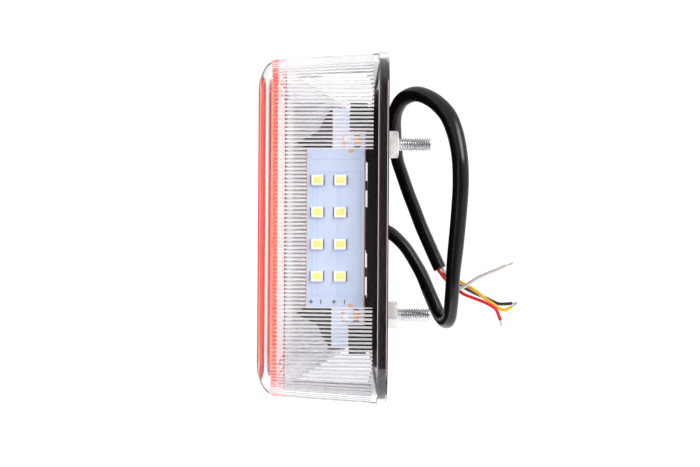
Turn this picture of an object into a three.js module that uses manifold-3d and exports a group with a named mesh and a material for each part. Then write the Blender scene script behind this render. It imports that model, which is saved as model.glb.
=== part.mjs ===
// Square trailer tail light with a number-plate window, as a bolted-on lamp with a flying lead.
// Millimetres. +X points out of the back, towards the bracket it is bolted to, and x = 0 is the mounting plane.
// +Z is up along the line of the two studs. The plate window looks out of the -Y side.

import * as THREE from 'three';
import { mergeVertices } from 'three/addons/utils/BufferGeometryUtils.js';
import Module from 'manifold-3d';

// ---------------------------------------------------------------- driving dimensions

// Body
const bodyWidth = 98; // along Y
const bodyHeight = 94; // along Z
const bodyDepth = 34.7; // front face to mounting plane
const cornerRadius = 10;
const draftAngle = 3.84 * Math.PI / 180;
const fitGap = 0.3; // round every piece that drops into another
const restGap = 0.05; // between pieces stacked face to face
const bite = 1; // how far a cutting tool runs past what it cuts
const hair = 0.02; // keeps a turned bevel off the corners of a hexagon

// Outer lens
const lensWall = 2;
const lensFrontWall = 1.35;
const filletDepth = 5;
const filletReach = 8;
const skirtLength = 2.5;
const skirtWall = 1.3;
const skirtStep = 0.25;
const baseProud = 0.35; // base beyond the rear edge of the skirt

// Red front panel and red inner lens
const panelThickness = 0.6;
const panelCorner = 2;
const panelGap = 0.1; // round the panel in its seat
const panelBorder = 0.4; // clear plastic left round the panel
const innerLensThickness = 1;
const innerLensDepth = 4.2;
const crownReach = 0.3; // how far the crown runs into the curved edge
const brimThickness = 1.2;
const brimInset = 1;

// Base housing
const baseThickness = 2.2;
const platformThickness = 1.8;
const platformMarginY = 6.9;
const platformMarginZ = 8.2;
const platformRadius = 5;
const rimWidth = 3.5;
const panelRecess = 1.1;
const ledgeHeight = 1.5;
const ledgeDepth = 3;
const padRadius = 7;
const cablePadRadius = 6.5;
const backRibWidth = 1.6;
const sealThickness = 0.45;
const sealWidth = 1.8;

// Studs, washers and nuts
const studSpacing = 50;
const studRadius = 1.95;
const studHoleRadius = 2.25;
const studProjection = 13.7;
const studHeadFlats = 7;
const studHeadHeight = 2.5;
const studChamfer = 0.5;
const washerRadius = 4.5;
const washerBore = 2.2;
const washerThickness = 0.75;
const nutFlats = 7;
const nutHeight = 3.1;
const nutBore = 2.1;
const upperNutTurn = 11.7 * Math.PI / 180;
const lowerNutTurn = -15 * Math.PI / 180;

// Main board
const boardThickness = 1.6;
const boardRear = -7.6;
const boardMarginZ = 14;
const boardNear = 13.5; // from the window side of the body to the board
const boardFar = 11;
const boardCorner = 2;
const standoffRadius = 3;
const screwInset = 4;
const screwRadius = 1.1;
const screwHeadRadius = 2.1;
const screwHeadHeight = 1.3;
const screwLength = 6;
const screwPoint = 1;

// Surface-mounted parts
const ledLength = 3.5;
const ledWidth = 2.8;
const ledHeight = 0.7;
const ledWellLength = 2.4;
const ledWellWidth = 1.9;
const ledWellDepth = 0.25;
const mainLedRows = 3;
const mainLedColumns = 4;
const mainLedMargin = 11;
const resistorLength = 3.2;
const resistorWidth = 1.6;
const resistorHeight = 0.6;
const powerResistorLength = 6.4;
const powerResistorWidth = 3.2;
const diodeLength = 4.4;
const diodeWidth = 2.6;
const diodeHeight = 2.2;
const partInset = 14; // from the near and far edges of the main board
const partZ = 12;

// Reflector
const reflectorFront = -27.3;
const reflectorRear = -11.2;
const reflectorWall = 1.2;
const reflectorGap = 0.5;
const reflectorLip = 0.8;
const reflectorSlope = 0.577;
const reflectorRadius = 8;
const reflectorInset = 1.4; // how far inside the outer walls the bowl starts
const cupRadius = 3.8;
const cupDepth = 0.9;
const cupMouth = 3.4;
const cupThroat = 2.4;
const cupConeLength = 4;
const cupConeRear = 0.8; // how far the cone runs past the cup's rear edge

// Number-plate board and its bracket
const plateSetback = 9; // window side of the body to the face of the board
const plateThickness = 1.2;
const plateFront = -21.9;
const plateRear = -6;
const plateHalf = 21.3;
const shoulderFront = -14.9;
const shoulderHalf = 25.8;
const tabRear = -10.3;
const tabHalf = 31.5;
const plateLedRows = 4;
const plateLedColumns = 2;
const plateLedPitchX = 6.1;
const plateLedPitchZ = 8.5;
const plateLedCentreX = -15.75;
const pocketClearance = 0.8; // ahead of the bracket's wings
const bracketThickness = 1.6;
const bracketHalf = 33.4;
const bracketFront = -21;
const bracketEdgeX = -10.2;
const wingTip = -24.3;
const wingLow = 22.9;
const wingTop = [[-15.5, 31.5], [-16.9, 29.5], [-18.6, 25.8]]; // [x, z] along the edge by the tab
const bracketStep = 1; // the frame's end inside the plate board's
const slitHalf = 6;
const slitCentre = 11.8;
const slitOverlap = 0.4; // how far the slits run in behind the plate board
const railFront = 3;
const railRear = 4;
const resistorX = -8.3;
const resistorInset = 2.7; // from the end of the shoulder
const solderX = -10.9;
const solderInset = 2.1;
const solderRadius = 0.9;
const solderHeight = 0.7;

// Cable
const sheathRadius = 2.1;
const sheathBore = 1.6;
const sheathBoreDepth = 10;
const coreRadius = 0.45;
const strandRadius = 0.22;
const cableHole = 3.1;
const grommetFlange = 4.6;
const cableClearance = 0.5;
const grommetLip = 1;
const grommetCollar = 0.5;
const grommetChamfer = 0.6;

// ---------------------------------------------------------------- derived places

const skirtRear = -baseProud;
const skirtFront = skirtRear - skirtLength;
const wallHalfY = bodyWidth / 2 - skirtStep;
const wallHalfZ = bodyHeight / 2 - skirtStep;
const skirtInnerY = bodyWidth / 2 - skirtWall;
const skirtInnerZ = bodyHeight / 2 - skirtWall;
const baseHalfY = skirtInnerY - fitGap;
const baseHalfZ = skirtInnerZ - fitGap;
const baseRadius = cornerRadius - skirtWall - fitGap;
const draft = Math.tan(draftAngle);
const lensFront = -bodyDepth;
const lensInnerFront = lensFront + lensFrontWall;
const platformFront = -baseThickness - platformThickness;
const panelFace = -panelRecess;
const platformHalfY = baseHalfY - platformMarginY;
const platformHalfZ = baseHalfZ - platformMarginZ;
const boardFront = boardRear - boardThickness;
const boardHalfZ = bodyHeight / 2 - boardMarginZ;
const boardY = [boardNear - bodyWidth / 2, bodyWidth / 2 - boardFar];
const plateY = plateSetback - bodyWidth / 2;
const bracketY = plateY + plateThickness + restGap * 2;
const studZ = { upper: studSpacing / 2, lower: -studSpacing / 2 };
const nutTurns = { upper: upperNutTurn, lower: lowerNutTurn };

const innerEdgeReach = filletReach - lensWall / 2;

// Half sizes of the clear space inside the lens wall at a given x
const lensInnerHalfY = (x) => wallHalfY - lensWall - draft * (skirtFront - x);
const lensInnerHalfZ = (x) => wallHalfZ - lensWall - draft * (skirtFront - x);

// ---------------------------------------------------------------- materials

const paint = (color, roughness, metalness = 0, opacity = 1) => new THREE.MeshStandardMaterial({
  color, roughness, metalness, opacity, transparent: opacity < 1,
});

const finish = {
  clear: paint(0xf4f6fa, 0.05, 0, 0.35),
  red: paint(0xff3a1e, 0.15, 0, 0.8),
  chrome: paint(0xe6e8ea, 0.08, 1),
  black: paint(0x262325, 0.45),
  rubber: paint(0x2f2d30, 0.6),
  board: paint(0xcdd8ee, 0.5),
  ledBody: paint(0xf6f4ec, 0.4),
  ledRed: paint(0xf3d9d0, 0.4),
  ledAmber: paint(0xf7e6bd, 0.4),
  component: paint(0x1c1a1c, 0.5),
  solder: paint(0xd9dadd, 0.3, 1),
  zinc: paint(0xc9cdd3, 0.3, 1),
  sheath: paint(0x2b292b, 0.4),
  white: paint(0xd9d3cf, 0.45),
  yellow: paint(0xffc300, 0.45),
  coreBlack: paint(0x2d2829, 0.45),
  coreRed: paint(0xf01414, 0.45),
  copper: paint(0xc9c4bd, 0.35, 1),
};

// ---------------------------------------------------------------- solids

const wasm = await Module();
wasm.setup();

function toSolid(geometry) {
  const bare = geometry.clone();
  bare.deleteAttribute('normal');
  bare.deleteAttribute('uv');
  const merged = mergeVertices(bare, 1e-4);
  return new wasm.Manifold(new wasm.Mesh({
    numProp: 3,
    vertProperties: new Float32Array(merged.attributes.position.array),
    triVerts: new Uint32Array(merged.index.array),
  }));
}

function toGeometry(solid) {
  const mesh = solid.getMesh();
  const geometry = new THREE.BufferGeometry();
  geometry.setAttribute('position', new THREE.BufferAttribute(mesh.vertProperties, 3));
  geometry.setIndex(new THREE.BufferAttribute(mesh.triVerts, 1));
  geometry.computeVertexNormals();
  return geometry;
}

const join = (first, ...rest) => toGeometry(rest.reduce((sum, g) => sum.add(toSolid(g)), toSolid(first)));
const cut = (body, ...tools) => toGeometry(tools.reduce((sum, g) => sum.subtract(toSolid(g)), toSolid(body)));
const common = (a, b) => toGeometry(toSolid(a).intersect(toSolid(b)));

// Turns a shape drawn in (Y, Z) and extruded from 0 so that it runs along +X from x
const alongX = (geometry, x) => geometry
  .applyMatrix4(new THREE.Matrix4().makeBasis(
    new THREE.Vector3(0, 1, 0),
    new THREE.Vector3(0, 0, 1),
    new THREE.Vector3(1, 0, 0),
  ))
  .translate(x, 0, 0);

// Turns a shape drawn in (X, Z) and extruded from 0 so that it runs along +Y from y
const alongY = (geometry, y) => geometry
  .applyMatrix4(new THREE.Matrix4().makeBasis(
    new THREE.Vector3(1, 0, 0),
    new THREE.Vector3(0, 0, 1),
    new THREE.Vector3(0, -1, 0),
  ))
  .translate(0, y, 0);

function roundedRectangle(halfY, halfZ, radius) {
  const shape = new THREE.Shape();
  const y = halfY - radius;
  const z = halfZ - radius;
  shape.absarc(y, z, radius, 0, Math.PI / 2);
  shape.absarc(-y, z, radius, Math.PI / 2, Math.PI);
  shape.absarc(-y, -z, radius, Math.PI, 1.5 * Math.PI);
  shape.absarc(y, -z, radius, 1.5 * Math.PI, 2 * Math.PI);
  return shape;
}

const extrude = (shape, depth, segments = 4) => new THREE.ExtrudeGeometry(shape, {
  depth, bevelEnabled: false, curveSegments: segments,
});

const slab = (halfY, halfZ, radius, x0, x1) => alongX(
  extrude(roundedRectangle(halfY, halfZ, radius), x1 - x0), x0,
);

const block = (x0, x1, y0, y1, z0, z1) => new THREE.BoxGeometry(x1 - x0, y1 - y0, z1 - z0)
  .translate((x0 + x1) / 2, (y0 + y1) / 2, (z0 + z1) / 2);

const rod = (radius, x0, x1, y = 0, z = 0, sides = 24) => (
  new THREE.CylinderGeometry(radius, radius, x1 - x0, sides)
    .rotateZ(-Math.PI / 2)
    .translate((x0 + x1) / 2, y, z)
);

// A solid of revolution about the X direction through (y, z), from a closed list of [x, radius]
function turned(profile, y, z, sides = 24) {
  const points = profile.map(([x, radius]) => new THREE.Vector2(radius, x));
  return new THREE.LatheGeometry(points, sides)
    .rotateZ(-Math.PI / 2)
    .translate(0, y, z);
}

// Draws the walls in towards the front, each quarter of the outline by the same amount
function drawIn(geometry, xWide, slope) {
  const position = geometry.attributes.position;
  for (let i = 0; i < position.count; i += 1) {
    const inset = slope * (xWide - position.getX(i));
    position.setY(i, position.getY(i) - Math.sign(position.getY(i)) * inset);
    position.setZ(i, position.getZ(i) - Math.sign(position.getZ(i)) * inset);
  }
  return geometry;
}

// A drafted box from its front face back past xWide, its front edge rounded to an ellipse
function draftedForm(halfY, halfZ, radius, front, xWide, edgeDepth, edgeReach) {
  const form = new THREE.ExtrudeGeometry(roundedRectangle(halfY, halfZ, radius), {
    depth: xWide - front,
    bevelEnabled: true,
    bevelThickness: edgeDepth,
    bevelSize: edgeReach,
    bevelOffset: -edgeReach,
    bevelSegments: 5,
    curveSegments: 4,
  });
  return drawIn(alongX(form, front + edgeDepth), xWide, draft);
}

const everythingIn = (x0, x1) => block(x0, x1, -bodyWidth, bodyWidth, -bodyHeight, bodyHeight);

// A round tube of a given length along points
function tube(path, radius, sides, steps) {
  const section = new THREE.Shape();
  const corners = [];
  for (let i = 0; i < sides; i += 1) {
    const angle = 2 * Math.PI * i / sides;
    corners.push(new THREE.Vector2(radius * Math.cos(angle), radius * Math.sin(angle)));
  }
  section.setFromPoints(corners);
  return new THREE.ExtrudeGeometry(section, { steps, bevelEnabled: false, extrudePath: path });
}

const curveThrough = (points) => new THREE.CatmullRomCurve3(points.map((p) => new THREE.Vector3(...p)));

const lamp = new THREE.Group();
lamp.name = 'trailer_tail_light';

function add(name, geometry, material) {
  const mesh = new THREE.Mesh(geometry, material);
  mesh.name = name;
  lamp.add(mesh);
}

// ---------------------------------------------------------------- lens group

function outerLens() {
  const outside = draftedForm(
    wallHalfY, wallHalfZ, cornerRadius, lensFront, skirtFront, filletDepth, filletReach,
  );
  const wall = common(outside, everythingIn(lensFront - bite, skirtFront + skirtLength / 2));
  const skirt = slab(bodyWidth / 2, bodyHeight / 2, cornerRadius, skirtFront, skirtRear);
  const skirtHollow = slab(skirtInnerY, skirtInnerZ, cornerRadius - skirtWall, skirtFront, skirtRear + bite);
  const hollow = draftedForm(
    wallHalfY - lensWall, wallHalfZ - lensWall, cornerRadius - lensWall,
    lensInnerFront, skirtFront, filletDepth - lensWall / 2, innerEdgeReach,
  );
  const panel = frontPanelHalf();
  const seat = slab(
    panel.y + panelGap, panel.z + panelGap, panelCorner,
    lensFront - bite, lensFront + panelThickness + restGap,
  );
  return cut(join(wall, skirt), skirtHollow, hollow, seat);
}

// The flat part of the front face, less its clear border
function frontPanelHalf() {
  const inset = filletReach + draft * (skirtFront - lensFront) + panelBorder;
  return { y: wallHalfY - inset, z: wallHalfZ - inset };
}

function frontPanel() {
  const half = frontPanelHalf();
  return slab(half.y, half.z, panelCorner, lensFront, lensFront + panelThickness);
}

// A hat-shaped tray: a flat face behind the front wall, a short wall and a brim that centres it in the lens
function innerLens() {
  const front = lensInnerFront + restGap;
  const rear = front + innerLensDepth;
  const half = {
    y: lensInnerHalfY(lensInnerFront) - innerEdgeReach + crownReach,
    z: lensInnerHalfZ(lensInnerFront) - innerEdgeReach + crownReach,
  };
  const brimHalfY = lensInnerHalfY(rear - brimThickness) - brimInset;
  const brimHalfZ = lensInnerHalfZ(rear - brimThickness) - brimInset;
  const crown = slab(half.y, half.z, panelCorner, front, rear);
  const brim = slab(brimHalfY, brimHalfZ, cornerRadius - lensWall - brimInset, rear - brimThickness, rear);
  const hollow = slab(
    half.y - innerLensThickness, half.z - innerLensThickness, panelCorner / 2,
    front + innerLensThickness, rear + bite,
  );
  return cut(join(crown, brim), hollow);
}

function lensSeal() {
  const front = -baseThickness - restGap * 2 - sealThickness;
  const rear = front + sealThickness;
  const outside = slab(baseHalfY, baseHalfZ, baseRadius, front, rear);
  const inside = slab(
    baseHalfY - sealWidth, baseHalfZ - sealWidth, baseRadius - sealWidth, front - bite, rear + bite,
  );
  return cut(outside, inside);
}

// ---------------------------------------------------------------- reflector

const reflectorHalfY = lensInnerHalfY(reflectorFront) - reflectorGap;
const reflectorHalfZ = lensInnerHalfZ(reflectorFront) - reflectorGap;

function reflectorForm(inset, front, rear) {
  const halfY = reflectorHalfY - inset - reflectorSlope * (rear - reflectorFront);
  const halfZ = reflectorHalfZ - inset - reflectorSlope * (rear - reflectorFront);
  const form = slab(halfY, halfZ, reflectorRadius, front, rear);
  return drawIn(form, rear, -reflectorSlope);
}

function platePocket(growth) {
  return block(
    wingTip - pocketClearance - growth, reflectorRear + bite,
    -bodyWidth / 2, bracketY + bracketThickness + fitGap + growth,
    -bracketHalf - fitGap - growth, bracketHalf + fitGap + growth,
  );
}

function ledPlaces(rows, columns, low, high) {
  const places = [];
  for (let row = 0; row < rows; row += 1) {
    for (let column = 0; column < columns; column += 1) {
      places.push([
        low[0] + (high[0] - low[0]) * column / (columns - 1),
        low[1] + (high[1] - low[1]) * row / (rows - 1),
      ]);
    }
  }
  return places;
}

const mainLeds = ledPlaces(
  mainLedRows, mainLedColumns,
  [boardY[0] + mainLedMargin, -boardHalfZ + mainLedMargin],
  [boardY[1] - mainLedMargin, boardHalfZ - mainLedMargin],
);

function reflector() {
  const floorFront = reflectorRear - reflectorWall;
  const outside = cut(reflectorForm(0, reflectorFront, reflectorRear), platePocket(0));
  const hollow = cut(
    reflectorForm(reflectorInset, reflectorFront - bite, floorFront),
    platePocket(reflectorWall),
  );
  const lip = cut(
    slab(reflectorHalfY, reflectorHalfZ, reflectorRadius, reflectorFront, reflectorFront + reflectorLip),
    slab(
      reflectorHalfY - reflectorWall * 2, reflectorHalfZ - reflectorWall * 2, reflectorRadius - reflectorWall,
      reflectorFront - bite, reflectorFront + reflectorLip + bite,
    ),
  );
  const cups = mainLeds.map(([y, z]) => rod(cupRadius, floorFront, reflectorRear + cupDepth, y, z, 16));
  const cones = mainLeds.map(([y, z]) => new THREE.CylinderGeometry(cupThroat, cupMouth, cupConeLength, 16)
    .rotateZ(-Math.PI / 2)
    .translate(reflectorRear + cupDepth + cupConeRear - cupConeLength / 2, y, z));
  return cut(join(cut(outside, hollow), lip, ...cups), ...cones);
}

// ---------------------------------------------------------------- base

const screwPlaces = [
  [boardY[0] + screwInset, boardHalfZ - screwInset],
  [boardY[1] - screwInset, boardHalfZ - screwInset],
  [boardY[0] + screwInset, -boardHalfZ + screwInset],
  [boardY[1] - screwInset, -boardHalfZ + screwInset],
];

function baseHousing() {
  const plate = slab(baseHalfY, baseHalfZ, baseRadius, -baseThickness, 0);
  const platform = slab(platformHalfY, platformHalfZ, platformRadius, platformFront, -baseThickness / 2);
  const recess = slab(baseHalfY - rimWidth, baseHalfZ - rimWidth, baseRadius - rimWidth, panelFace, bite);
  const ledge = block(
    platformFront - ledgeHeight, platformFront + bite,
    plateY - ledgeDepth / 3, plateY - ledgeDepth / 3 + ledgeDepth,
    -platformHalfZ + platformRadius, platformHalfZ - platformRadius,
  );
  const pads = Object.values(studZ).map((z) => rod(padRadius, panelFace - bite, 0, 0, z));
  const cablePad = rod(cablePadRadius, panelFace - bite, panelFace / 2);
  const ribEndY = baseHalfY - rimWidth / 2;
  const ribEndZ = baseHalfZ - rimWidth / 2;
  const ribs = [
    block(panelFace - bite, 0, -backRibWidth / 2, backRibWidth / 2, -ribEndZ, ribEndZ),
    ...Object.values(studZ).map((z) => block(
      panelFace - bite, 0, -ribEndY, ribEndY, z - backRibWidth / 2, z + backRibWidth / 2,
    )),
  ];
  const standoffs = screwPlaces.map(([y, z]) => rod(
    standoffRadius, boardRear + restGap, platformFront + bite, y, z, 16,
  ));
  const studHoles = Object.values(studZ).map((z) => rod(studHoleRadius, platformFront - bite, bite, 0, z));
  const screwHoles = screwPlaces.map(([y, z]) => rod(
    screwRadius + fitGap / 2, boardRear - bite, boardFront + screwLength + fitGap, y, z, 12,
  ));
  const cableBore = rod(cableHole + fitGap, platformFront - bite, bite);
  const cableClear = rod(grommetFlange + fitGap, panelFace / 2 - restGap, bite);
  return cut(
    join(cut(plate, recess), platform, ledge, ...pads, cablePad, ...ribs, ...standoffs),
    ...studHoles, ...screwHoles, cableBore, cableClear,
  );
}

function grommet() {
  const inner = sheathRadius + cableClearance;
  const front = platformFront - grommetLip;
  const back = panelFace / 2;
  return turned([
    [front, inner],
    [front, grommetFlange - grommetChamfer],
    [platformFront - restGap * 2, grommetFlange],
    [platformFront - restGap * 2, cableHole],
    [back + restGap, cableHole],
    [back + restGap, grommetFlange],
    [back + grommetCollar, grommetFlange - grommetChamfer],
    [back + grommetCollar, inner],
    [front, inner],
  ], 0, 0);
}

// ---------------------------------------------------------------- boards and what is on them

function mainBoard() {
  const width = boardY[1] - boardY[0];
  const body = slab(width / 2, boardHalfZ, boardCorner, boardFront, boardRear)
    .translate(0, (boardY[0] + boardY[1]) / 2, 0);
  const holes = screwPlaces.map(([y, z]) => rod(
    screwRadius + fitGap, boardFront - bite, boardRear + bite, y, z, 12,
  ));
  return cut(body, ...holes);
}

function boardScrew(y, z) {
  const head = boardFront - restGap;
  return turned([
    [head - screwHeadHeight, 0],
    [head - screwHeadHeight, screwHeadRadius * 0.6],
    [head - screwHeadHeight / 2, screwHeadRadius],
    [head, screwHeadRadius],
    [head, screwRadius],
    [head + screwLength - screwPoint, screwRadius],
    [head + screwLength, 0],
  ], y, z, 12);
}

// An LED package lying on a face, with its light well on the far side, built looking along -Z
function ledPackage(length, width) {
  const body = new THREE.BoxGeometry(length, width, ledHeight).translate(0, 0, ledHeight / 2);
  const well = new THREE.BoxGeometry(ledWellLength, ledWellWidth, ledWellDepth * 2).translate(0, 0, ledHeight);
  return cut(body, well);
}

function mainLed([y, z]) {
  return ledPackage(ledLength, ledWidth)
    .rotateY(-Math.PI / 2)
    .translate(boardFront - restGap, y, z);
}

function plateLed([x, z]) {
  return ledPackage(ledLength, ledWidth)
    .rotateX(Math.PI / 2)
    .translate(x, plateY - restGap, z);
}

function polygon(points) {
  return new THREE.Shape(points.map(([x, z]) => new THREE.Vector2(x, z)));
}

// An outline given for z above zero, closed by its mirror image below
function mirrored(upper) {
  return polygon([...upper, ...upper.map(([x, z]) => [x, -z]).reverse()]);
}

// The plate board's outline: a wide middle behind the window, shoulders and two tabs
function plateBoard() {
  const outline = mirrored([
    [plateRear, shoulderHalf],
    [tabRear, shoulderHalf],
    [tabRear, tabHalf],
    [shoulderFront, tabHalf],
    [shoulderFront, plateHalf],
    [plateFront, plateHalf],
  ]);
  return alongY(extrude(outline, plateThickness), plateY + plateThickness);
}

// The bracket carries the plate board: a frame behind it with wings at the ends and slits along the rear edge
function boardBracket() {
  const edge = platformFront - ledgeHeight - restGap * 2;
  const outline = mirrored([
    [edge, bracketHalf],
    [bracketEdgeX, bracketHalf],
    [bracketEdgeX, tabHalf],
    ...wingTop,
    [wingTip, wingLow],
    [bracketFront, plateHalf - bracketStep],
  ]);
  const rear = bracketY + bracketThickness;
  const body = alongY(extrude(outline, bracketThickness), rear);
  const slits = [slitCentre, -slitCentre].map((z) => block(
    plateRear - slitOverlap, edge + bite, bracketY - bite, rear + bite, z - slitHalf, z + slitHalf,
  ));
  const windows = [slitCentre, -slitCentre].map((z) => block(
    bracketFront + railFront, plateRear - railRear, bracketY - bite, rear + bite, z - slitHalf, z + slitHalf,
  ));
  return cut(body, ...slits, ...windows);
}

const plateLeds = ledPlaces(
  plateLedRows, plateLedColumns,
  [plateLedCentreX - plateLedPitchX / 2, -plateLedPitchZ * (plateLedRows - 1) / 2],
  [plateLedCentreX + plateLedPitchX / 2, plateLedPitchZ * (plateLedRows - 1) / 2],
);

const plateResistor = (z) => block(
  resistorX - resistorWidth / 2, resistorX + resistorWidth / 2,
  plateY - restGap - resistorHeight, plateY - restGap,
  z - resistorLength / 2, z + resistorLength / 2,
);

// A dome of solder on the window face of the plate board
function solderJoint(z) {
  const profile = [new THREE.Vector2(0, 0)];
  const steps = 4;
  for (let i = 0; i < steps; i += 1) {
    const angle = i * Math.PI / 2 / steps;
    profile.push(new THREE.Vector2(solderRadius * Math.cos(angle), solderHeight * Math.sin(angle)));
  }
  profile.push(new THREE.Vector2(0, solderHeight));
  return new THREE.LatheGeometry(profile, 12)
    .rotateX(Math.PI)
    .translate(solderX, plateY - restGap, z);
}

const onBoardBack = (length, width, height, y, z) => block(
  boardRear + restGap, boardRear + restGap + height,
  y - length / 2, y + length / 2,
  z - width / 2, z + width / 2,
);

// ---------------------------------------------------------------- studs and nuts

function hexPrism(flats, x0, x1, z, turn) {
  return new THREE.CylinderGeometry(flats / Math.sqrt(3), flats / Math.sqrt(3), x1 - x0, 6)
    .rotateZ(-Math.PI / 2)
    .rotateX(turn)
    .translate((x0 + x1) / 2, 0, z);
}

function stud(z) {
  const root = platformFront - studHeadHeight / 2;
  const shank = turned([
    [root, 0],
    [root, studRadius],
    [studProjection - studChamfer, studRadius],
    [studProjection, studRadius - studChamfer],
    [studProjection, 0],
  ], 0, z);
  const head = hexPrism(
    studHeadFlats, platformFront - fitGap / 2 - studHeadHeight, platformFront - fitGap / 2, z, 0,
  );
  return join(shank, head);
}

const washer = (z) => cut(
  rod(washerRadius, restGap, restGap + washerThickness, 0, z, 28),
  rod(washerBore, -bite, washerThickness + bite, 0, z, 28),
);

function nut(z, turn) {
  const inner = restGap * 2 + washerThickness;
  const outer = inner + nutHeight;
  const corner = nutFlats / Math.sqrt(3) + hair;
  const bevel = (corner - nutFlats / 2) / 2;
  const round = turned([
    [inner, 0],
    [inner, nutFlats / 2],
    [inner + bevel, corner],
    [outer - bevel, corner],
    [outer, nutFlats / 2],
    [outer, 0],
  ], 0, z);
  return cut(
    common(hexPrism(nutFlats, inner, outer, z, turn), round),
    rod(nutBore, inner - bite, outer + bite, 0, z),
  );
}

// ---------------------------------------------------------------- cable

// Out of the base, down past the lower stud, up in a long loop, over the top and back behind the upper stud
const sheathPoints = [
  [-6.5, 0, 0], [-3.5, 0, 0], [-0.7, 0, 0], [1.3, -0.2, -0.7], [3.4, -1, -2.3], [6.2, -2.2, -5.3],
  [8.7, -3.6, -9.2], [10.8, -4.8, -13], [12.6, -5.8, -17.3], [14.2, -6.6, -21.1], [15.7, -7.8, -24.3],
  [17.2, -10.6, -26.1], [18.2, -14.6, -24.8], [18.5, -16.6, -21.7], [18.8, -17, -17.2], [19.1, -17, -11.6],
  [19.9, -17, -3.1], [20.6, -17, 5.4], [21, -17, 12.4], [20.9, -16.4, 18.6], [20.4, -15, 23.4],
  [19.5, -13.2, 27.9], [17.9, -11, 32.4], [15.5, -8.6, 35.7], [12.5, -6, 38.2], [8.9, -3, 39.6],
  [5.5, 0, 38.6], [3.6, 2.8, 36.2], [2.9, 5.4, 33.2], [3, 7.8, 29.5], [3.4, 9.3, 25.1], [4, 9.8, 20.9],
  [5.4, 9.7, 16.7], [7.4, 9.2, 11], [9.3, 8.7, 6.1], [11.2, 8.2, 1.1], [13.3, 7.6, -3.7], [15.2, 7.1, -8],
  [16.8, 6.6, -11.5],
];
const sheathSteps = 56;
const borePoints = 5;
const boreSteps = 8;

// Each core starts inside the open end of the sheath and ends at its stripped tip
const corePoints = {
  white: [
    [13.85, 7, -3.45], [15.75, 6.5, -7.75], [17.35, 6, -11.25], [19.9, 4.9, -14.4], [22.7, 4, -17.1],
    [24.9, 3.6, -15.9], [27.5, 3.2, -14.2], [30.1, 2.8, -12.9], [33.3, 2.4, -11.6], [35.9, 2, -10.4],
  ],
  yellow: [
    [13.85, 8.2, -3.45], [15.75, 7.7, -7.75], [17.35, 7.2, -11.25], [19.9, 6.9, -13.5], [22.9, 6.5, -15.3],
    [25.1, 5.8, -16.6], [27.7, 5, -18.2], [29.9, 4.6, -20], [32.5, 4, -21.8], [34, 3.6, -22.9],
    [35.8, 3.2, -23.5], [36.9, 3, -23.1], [37.9, 2.9, -22.5],
  ],
  black: [
    [12.75, 8.2, -3.95], [14.65, 7.7, -8.25], [16.25, 7.2, -11.75], [19.9, 8, -14.8], [24.3, 8, -17.2],
    [27.2, 8, -18.7], [30.6, 7.6, -20.1], [32.8, 7, -21.2], [34.3, 6.6, -21.8], [36.5, 6, -21.8],
    [38.3, 5.6, -21.6],
  ],
  red: [
    [12.75, 7, -3.95], [14.65, 6.5, -8.25], [16.25, 6, -11.75], [19, 5.9, -15.2], [22.6, 5.4, -18.1],
    [23.9, 4.6, -19], [26.8, 3.4, -20.1], [29.7, 2.2, -21.2], [31.5, 1.6, -22.1], [33, 1.2, -23.2],
    [33.8, 0.9, -24.9], [34.3, 0.7, -26.4],
  ],
};
const coreSteps = 18;
const strandTips = {
  white: [38, 1.8, -9.6], yellow: [39.4, 2.6, -21.4], black: [39.7, 5.2, -21.5], red: [34.6, 0.5, -28],
};

function sheath() {
  const path = curveThrough(sheathPoints);
  const length = path.getLength();
  const inside = [];
  for (let i = 0; i <= borePoints; i += 1) {
    inside.push(path.getPointAt(1 - sheathBoreDepth * (1 - i / borePoints) / length));
  }
  const tip = path.getPointAt(1).add(path.getTangentAt(1));
  const bore = new THREE.CatmullRomCurve3([...inside, tip]);
  return cut(tube(path, sheathRadius, 12, sheathSteps), tube(bore, sheathBore, 12, boreSteps));
}

function strand(colour) {
  const core = curveThrough(corePoints[colour]);
  const tangent = core.getTangentAt(1);
  const start = core.getPointAt(1).addScaledVector(tangent, restGap * 2);
  const tip = new THREE.Vector3(...strandTips[colour]);
  return tube(new THREE.LineCurve3(start, tip), strandRadius, 8, 3);
}

// ---------------------------------------------------------------- assembly

add('outer_lens', outerLens(), finish.clear);
add('front_panel', frontPanel(), finish.red);
add('inner_lens', innerLens(), finish.red);
add('lens_seal', lensSeal(), finish.rubber);
add('reflector', reflector(), finish.chrome);
add('base_housing', baseHousing(), finish.black);
add('cable_grommet', grommet(), finish.rubber);
add('main_board', mainBoard(), finish.board);
screwPlaces.forEach(([y, z], i) => add(`board_screw_${i + 1}`, boardScrew(y, z), finish.zinc));

const turnColumn = mainLedColumns - 1;
mainLeds.forEach((place, i) => {
  const isTurn = i % mainLedColumns === turnColumn;
  const row = Math.floor(i / mainLedColumns);
  const name = isTurn ? `turn_led_${row + 1}` : `stop_led_${row * turnColumn + i % mainLedColumns + 1}`;
  add(name, mainLed(place), isTurn ? finish.ledAmber : finish.ledRed);
});

add('plate_board', plateBoard(), finish.board);
add('board_bracket', boardBracket(), finish.black);
plateLeds.forEach((place, i) => add(`plate_led_${i + 1}`, plateLed(place), finish.ledBody));
add('plate_resistor_upper', plateResistor(shoulderHalf - resistorInset), finish.component);
add('plate_resistor_lower', plateResistor(resistorInset - shoulderHalf), finish.component);
add('solder_joint_upper', solderJoint(shoulderHalf - solderInset), finish.solder);
add('solder_joint_lower', solderJoint(solderInset - shoulderHalf), finish.solder);

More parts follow.
